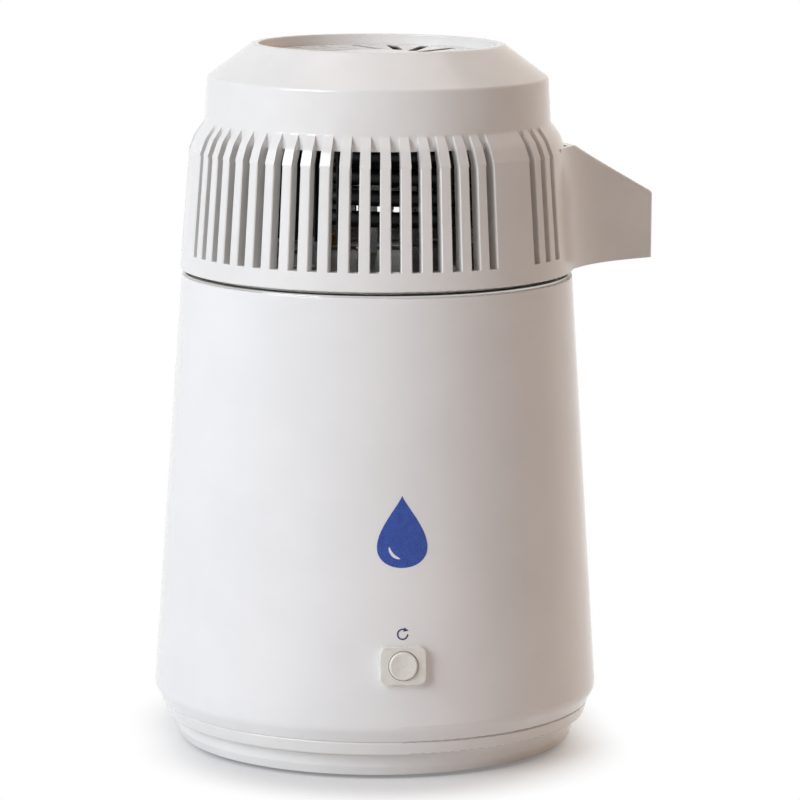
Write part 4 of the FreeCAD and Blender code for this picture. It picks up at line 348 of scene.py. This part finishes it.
def print_on_case(name, bm, height, ink, proud=INK_PROUD):
    """Wraps a flat print onto the front of the case, with its middle at a height, and gives it its film."""
    bmesh.ops.remove_doubles(bm, verts=bm.verts, dist=SEAM)
    for vert in bm.verts:
        level = height + vert.co.y * math.cos(CASE_LEAN)
        radius = case_radius(level) + proud
        turn = vert.co.x / radius
        vert.co = (radius * math.sin(turn), -radius * math.cos(turn), level)
    bmesh.ops.recalc_face_normals(bm, faces=bm.faces)
    if sum(face.normal.y for face in bm.faces) > 0:
        bmesh.ops.reverse_faces(bm, faces=bm.faces)
    bmesh.ops.solidify(bm, geom=bm.faces[:], thickness=INK_FILM)
    return make_piece(name, bm, ink, "base")


def swept_band(radius, width, sweep, steps):
    """A flat band that starts on the X axis and turns round the origin by an angle in degrees."""
    bm = bmesh.new()
    ends = [bm.verts.new((radius + side * width / 2, 0, 0)) for side in (-1, 1)]
    bmesh.ops.spin(bm, geom=ends + [bm.edges.new(ends)], cent=(0, 0, 0), axis=(0, 0, 1),
                   angle=math.radians(sweep), steps=steps, use_merge=False, use_duplicate=False)
    return bm


def turn_flat(bm, degrees):
    """Turns a flat print about its own middle."""
    turned = Matrix.Rotation(math.radians(degrees), 3, "Z")
    bmesh.ops.rotate(bm, verts=bm.verts, cent=(0, 0, 0), matrix=turned)


# --- prints on the case: plain signs of a water drop and of resetting -----------------------------

DROP_HEIGHT, DROP_LEVEL, ARROW_LEVEL = 36 * MM, 127 * MM, 76 * MM


def water_drop():
    """A drop: a circle narrowed towards its top, filled by rings that shrink onto its belly."""
    CORNERS, TAPER, RINGS, BELLY_DOWN = 96, 1.5, 9, DROP_HEIGHT / 6
    belly = Vector((0, -BELLY_DOWN, 0))
    bm = bmesh.new()
    bmesh.ops.create_circle(bm, segments=CORNERS, radius=1.0)
    for vert in bm.verts:
        turn = math.atan2(vert.co.x, vert.co.y)
        width = math.sin(turn) * abs(math.sin(turn / 2)) ** TAPER
        vert.co = Vector((width, math.cos(turn), 0)) * (DROP_HEIGHT / 2)
    rim = bm.edges[:]
    for ring in range(RINGS, 0, -1):
        grown = bmesh.ops.extrude_edge_only(bm, edges=rim)["geom"]
        rim = [item for item in grown if isinstance(item, bmesh.types.BMEdge)]
        for vert in (item for item in grown if isinstance(item, bmesh.types.BMVert)):
            vert.co = belly + (vert.co - belly) * ((ring - 1) / ring)
    return bm


def drop_shine():
    """The highlight low on the drop: a bent band that thins towards both ends."""
    RADIUS, WIDTH, SWEEP, STEPS = 6.6 * MM, 1.5 * MM, 75, 20
    TIP_SHARE, THINNING, TURN, DOWN = 0.12, 0.5, 185, DROP_HEIGHT / 5.2
    bm = swept_band(RADIUS, WIDTH, SWEEP, STEPS)
    for vert in bm.verts:
        turn = math.atan2(vert.co.y, vert.co.x)
        share = max(math.sin(math.pi * turn / math.radians(SWEEP)), 0.0) ** THINNING
        thin = RADIUS + (vert.co.length - RADIUS) * max(share, TIP_SHARE)
        vert.co = Vector((thin * math.cos(turn), thin * math.sin(turn), 0))
    turn_flat(bm, TURN)
    bmesh.ops.translate(bm, verts=bm.verts, vec=(0, -DOWN, 0))
    return bm


def reset_arrow():
    """An open ring with an arrow's head at its start, pointing clockwise."""
    RADIUS, WIDTH, SWEEP, STEPS = 2.5 * MM, 0.75 * MM, 285, 40
    HEAD_WIDTH, HEAD_LENGTH, TURN = 2.2 * MM, 2.5 * MM, 75
    bm = swept_band(RADIUS, WIDTH, SWEEP, STEPS)
    corners = ((RADIUS - HEAD_WIDTH / 2, 0), (RADIUS + HEAD_WIDTH / 2, 0), (RADIUS, -HEAD_LENGTH))
    bm.faces.new([bm.verts.new((x, y, 0)) for x, y in corners])
    turn_flat(bm, TURN)
    return bm


print_on_case("print_water_drop", water_drop(), DROP_LEVEL, ink_blue)
print_on_case("print_drop_shine", drop_shine(), DROP_LEVEL, ink_white, INK_PROUD + 2 * INK_FILM)
print_on_case("print_reset_arrow", reset_arrow(), ARROW_LEVEL, ink_navy)

# --- carbon sachet --------------------------------------------------------------------------------


def sachet_pad():
    """A round pad of filter paper, pleated and sealed round its edge, with crushed carbon in it.

    It is a ball flattened into the box of the solid that it stands for. Its outermost part, from SEAL_FROM
    of the ball's radius, is drawn out to make the thin seal. The carbon's lumps are waves along two spirals.
    """
    PLEATS, PLEAT_HEIGHT, PLEAT_POWER, RINGS = 22, 0.055, 5, 40
    PAD_SHARE, SEAL_FROM, SEAL_HALF, EDGE_RISE = 0.84, 0.93, 0.045, 0.02
    HEIGHT_SHARE, CROWN_POWER, EDGE_WAVE, WAVE_FROM = 0.93, 0.62, 0.2, 0.9
    LUMP_HEIGHT, ONE_ROUND, ONE_OUT, OTHER_ROUND, OTHER_OUT = 0.035, 5, 9, 3, 7
    low, high = (Vector(corner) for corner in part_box("carbon_sachet"))
    centre, half = (low + high) / 2, (high - low) / 2
    bm = bmesh.new()
    bmesh.ops.create_uvsphere(bm, u_segments=4 * PLEATS, v_segments=RINGS, radius=1.0)
    for vert in bm.verts:
        turn = math.atan2(vert.co.y, vert.co.x)
        spread = math.hypot(vert.co.x, vert.co.y)
        rise = abs(vert.co.z)
        side = math.copysign(1.0, vert.co.z)
        reach = PAD_SHARE * spread + (1 - PAD_SHARE) * max(0.0, spread - SEAL_FROM) / (1 - SEAL_FROM)
        crown = rise ** CROWN_POWER
        pleat = PLEAT_HEIGHT * math.cos(PLEATS * turn) * spread ** PLEAT_POWER * crown
        one = math.sin(ONE_ROUND * turn + ONE_OUT * spread)
        other = math.cos(OTHER_ROUND * turn - OTHER_OUT * spread)
        lump = LUMP_HEIGHT * one * other * crown
        lift = max(HEIGHT_SHARE * (crown + pleat + lump), SEAL_HALF) if rise > EDGE_RISE else 0.0
        wave = EDGE_WAVE * math.cos(PLEATS * turn) * max(0.0, spread - WAVE_FROM)
        level = side * lift + wave
        vert.co = centre + Vector((reach * math.cos(turn) * half.x, reach * math.sin(turn) * half.y,
                                   level * half.z))
    bmesh.ops.recalc_face_normals(bm, faces=bm.faces)
    return bm


sachet = make_piece("sachet_pad", sachet_pad(), paper, "cup", sharp_degrees=75)
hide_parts("carbon_sachet")

# --- floor ----------------------------------------------------------------------------------------

# The shadow fades between two distances from the axis, this much further out at the front and the back.
# Within them the floor still has a small share of white.
FADE_FROM, FADE_TO, FADE_STRETCH, FLOOR_LIFT = 0.085, 0.13, 0.03, 0.2
FLOOR_HALF, FLOOR_SQUARES = 9.0, 8


def background_rays(tree):
    """1 for the rays that show the background: from the camera, in a gloss or through glass."""
    rays = add(tree, "ShaderNodeLightPath")
    seen = rays.outputs["Is Camera Ray"]
    for ray in ("Is Glossy Ray", "Is Transmission Ray"):
        seen = add(tree, "ShaderNodeMath", {"operation": "MAXIMUM"},
                   {0: seen, 1: rays.outputs[ray]}).outputs[0]
    return seen


def white_sweep(material):
    """Makes a paper floor glow white to the rays that show the background, away from the object's shadow."""
    tree = material.node_tree
    output = next(node for node in tree.nodes if node.type == "OUTPUT_MATERIAL")
    matt = output.inputs["Surface"].links[0].from_socket
    place = add(tree, "ShaderNodeTexCoord").outputs["Object"]
    for step, amount in (("ABSOLUTE", 0), ("SUBTRACT", FADE_STRETCH), ("MAXIMUM", 0)):
        place = add(tree, "ShaderNodeVectorMath", {"operation": step, 1: (0, amount, 0)},
                    {0: place}).outputs[0]
    reach = add(tree, "ShaderNodeVectorMath", {"operation": "LENGTH"}, {0: place}).outputs["Value"]
    far = add(tree, "ShaderNodeMapRange",
              {"interpolation_type": "SMOOTHSTEP", "From Min": FADE_FROM, "From Max": FADE_TO,
               "To Min": FLOOR_LIFT, "To Max": 1.0}, {"Value": reach}).outputs[0]
    share = add(tree, "ShaderNodeMath", {"operation": "MULTIPLY"},
                {0: far, 1: background_rays(tree)}).outputs[0]
    glow = add(tree, "ShaderNodeEmission", {"Color": WHITE, "Strength": 1.0}).outputs[0]
    mixed = add(tree, "ShaderNodeMixShader", links={0: share, 1: matt, 2: glow}).outputs[0]
    tree.links.new(mixed, output.inputs["Surface"])


bm = bmesh.new()
bmesh.ops.create_grid(bm, x_segments=FLOOR_SQUARES, y_segments=FLOOR_SQUARES, size=FLOOR_HALF)
floor = place_mesh("floor", bm)
# Matt white paper, uncoated.
sweep = surface("white_paper_uncoated", ("#E6E6E6", "#EAEAEA"), patch_mm=900, roughness=(0.85, 0.95),
                grain_mm=(2, 0.01))
white_sweep(sweep)
dress(floor, sweep)

# --- light and camera -----------------------------------------------------------------------------

# The room by direction, from behind round by the left, the front and the right: pale behind, dark grey
# on the left, and a dim warm brown from the front to the right.
ROOM_STOPS = ((0.0, "#D8D8D8"), (0.1, "#77797C"), (0.2, "#3C3D3E"), (0.44, "#404142"), (0.52, "#784C22"),
              (0.8, "#704820"), (0.9, "#A4927F"), (1.0, "#D8D8D8"))
STOPS_START = 0.5


def light_room():
    """A world that lights the object by ROOM_STOPS, and is white to the rays that show the background."""
    world = bpy.data.worlds.new("room")
    bpy.context.scene.world = world
    world.use_nodes = True
    tree = world.node_tree
    tree.nodes.clear()
    place = add(tree, "ShaderNodeTexCoord").outputs["Generated"]
    facing = add(tree, "ShaderNodeSeparateXYZ", links={0: place})
    towards = add(tree, "ShaderNodeMath", {"operation": "MULTIPLY", 1: -1.0}, {0: facing.outputs["Y"]})
    around = add(tree, "ShaderNodeMath", {"operation": "ARCTAN2"},
                 {0: facing.outputs["X"], 1: towards.outputs[0]})
    turn = add(tree, "ShaderNodeMapRange",
               {"From Min": -math.pi, "From Max": math.pi, "To Min": 0.0, "To Max": 1.0},
               {"Value": around.outputs[0]})
    ramp = add(tree, "ShaderNodeValToRGB", links={"Fac": turn.outputs[0]})
    stops = ramp.color_ramp.elements
    while len(stops) < len(ROOM_STOPS):
        stops.new(STOPS_START)
    for stop, (position, code) in zip(stops, ROOM_STOPS):
        stop.position = position
        stop.color = colour(code)
    dim = add(tree, "ShaderNodeBackground", {"Strength": 1.0}, {"Color": ramp.outputs[0]})
    white = add(tree, "ShaderNodeBackground", {"Color": WHITE, "Strength": 1.0})
    mixed = add(tree, "ShaderNodeMixShader",
                links={0: background_rays(tree), 1: dim.outputs[0], 2: white.outputs[0]})
    add(tree, "ShaderNodeOutputWorld", links={0: mixed.outputs[0]})


light_room()

LAMP_AIM, LAMP_SIZE = Vector((0, 0, 0.18)), 2.0


def soft_box(name, azimuth, elevation, distance, watts, code, in_gloss=True):
    """A square lamp that looks at the middle of the object.

    Azimuth 0 is the front, and positive is to the right. in_gloss says whether glossy surfaces show it.
    """
    lamp = bpy.data.lights.new(name, "AREA")
    lamp.shape = "SQUARE"
    lamp.size = LAMP_SIZE
    lamp.energy = watts
    lamp.color = colour(code)[:3]
    holder = place_object(name, lamp)
    a, e = math.radians(azimuth), math.radians(elevation)
    away = Vector((math.sin(a) * math.cos(e), -math.cos(a) * math.cos(e), math.sin(e)))
    turned = (-away).to_track_quat("-Z", "Y").to_matrix().to_4x4()
    holder.matrix_world = Matrix.Translation(LAMP_AIM + away * distance) @ turned
    holder.visible_camera = False
    holder.visible_glossy = in_gloss


soft_box("key_box", azimuth=-57, elevation=25, distance=3.2, watts=81, code="#F1F7FF")
soft_box("top_box", azimuth=0, elevation=88, distance=2.2, watts=12, code="#FFFBF8")
soft_box("back_fill", azimuth=135, elevation=22, distance=3.2, watts=38, code="#FFEAD2", in_gloss=False)

# The camera stands a little left of the front and looks down at the object through a long lens.
LENS, CAMERA_DISTANCE, CAMERA_HEIGHT, CAMERA_SEES_TO = 190.575, 2.160, 0.525, 50
CAMERA_TURN, CAMERA_AIM, CAMERA_PITCH, CAMERA_ROLL = 7.0, 0.325, 9.19, 0.33
camera = place_object("camera", bpy.data.cameras.new("camera"))
camera.data.lens = LENS
camera.data.clip_end = CAMERA_SEES_TO
side = math.radians(CAMERA_TURN)
camera.matrix_world = (
    Matrix.Translation((-CAMERA_DISTANCE * math.sin(side), -CAMERA_DISTANCE * math.cos(side), CAMERA_HEIGHT))
    @ Matrix.Rotation(-math.radians(CAMERA_TURN + CAMERA_AIM), 4, "Z")
    @ Matrix.Rotation(math.radians(90 - CAMERA_PITCH), 4, "X")
    @ Matrix.Rotation(math.radians(CAMERA_ROLL), 4, "Z"))
bpy.context.scene.camera = camera
bpy.context.scene.view_settings.view_transform = "Standard"
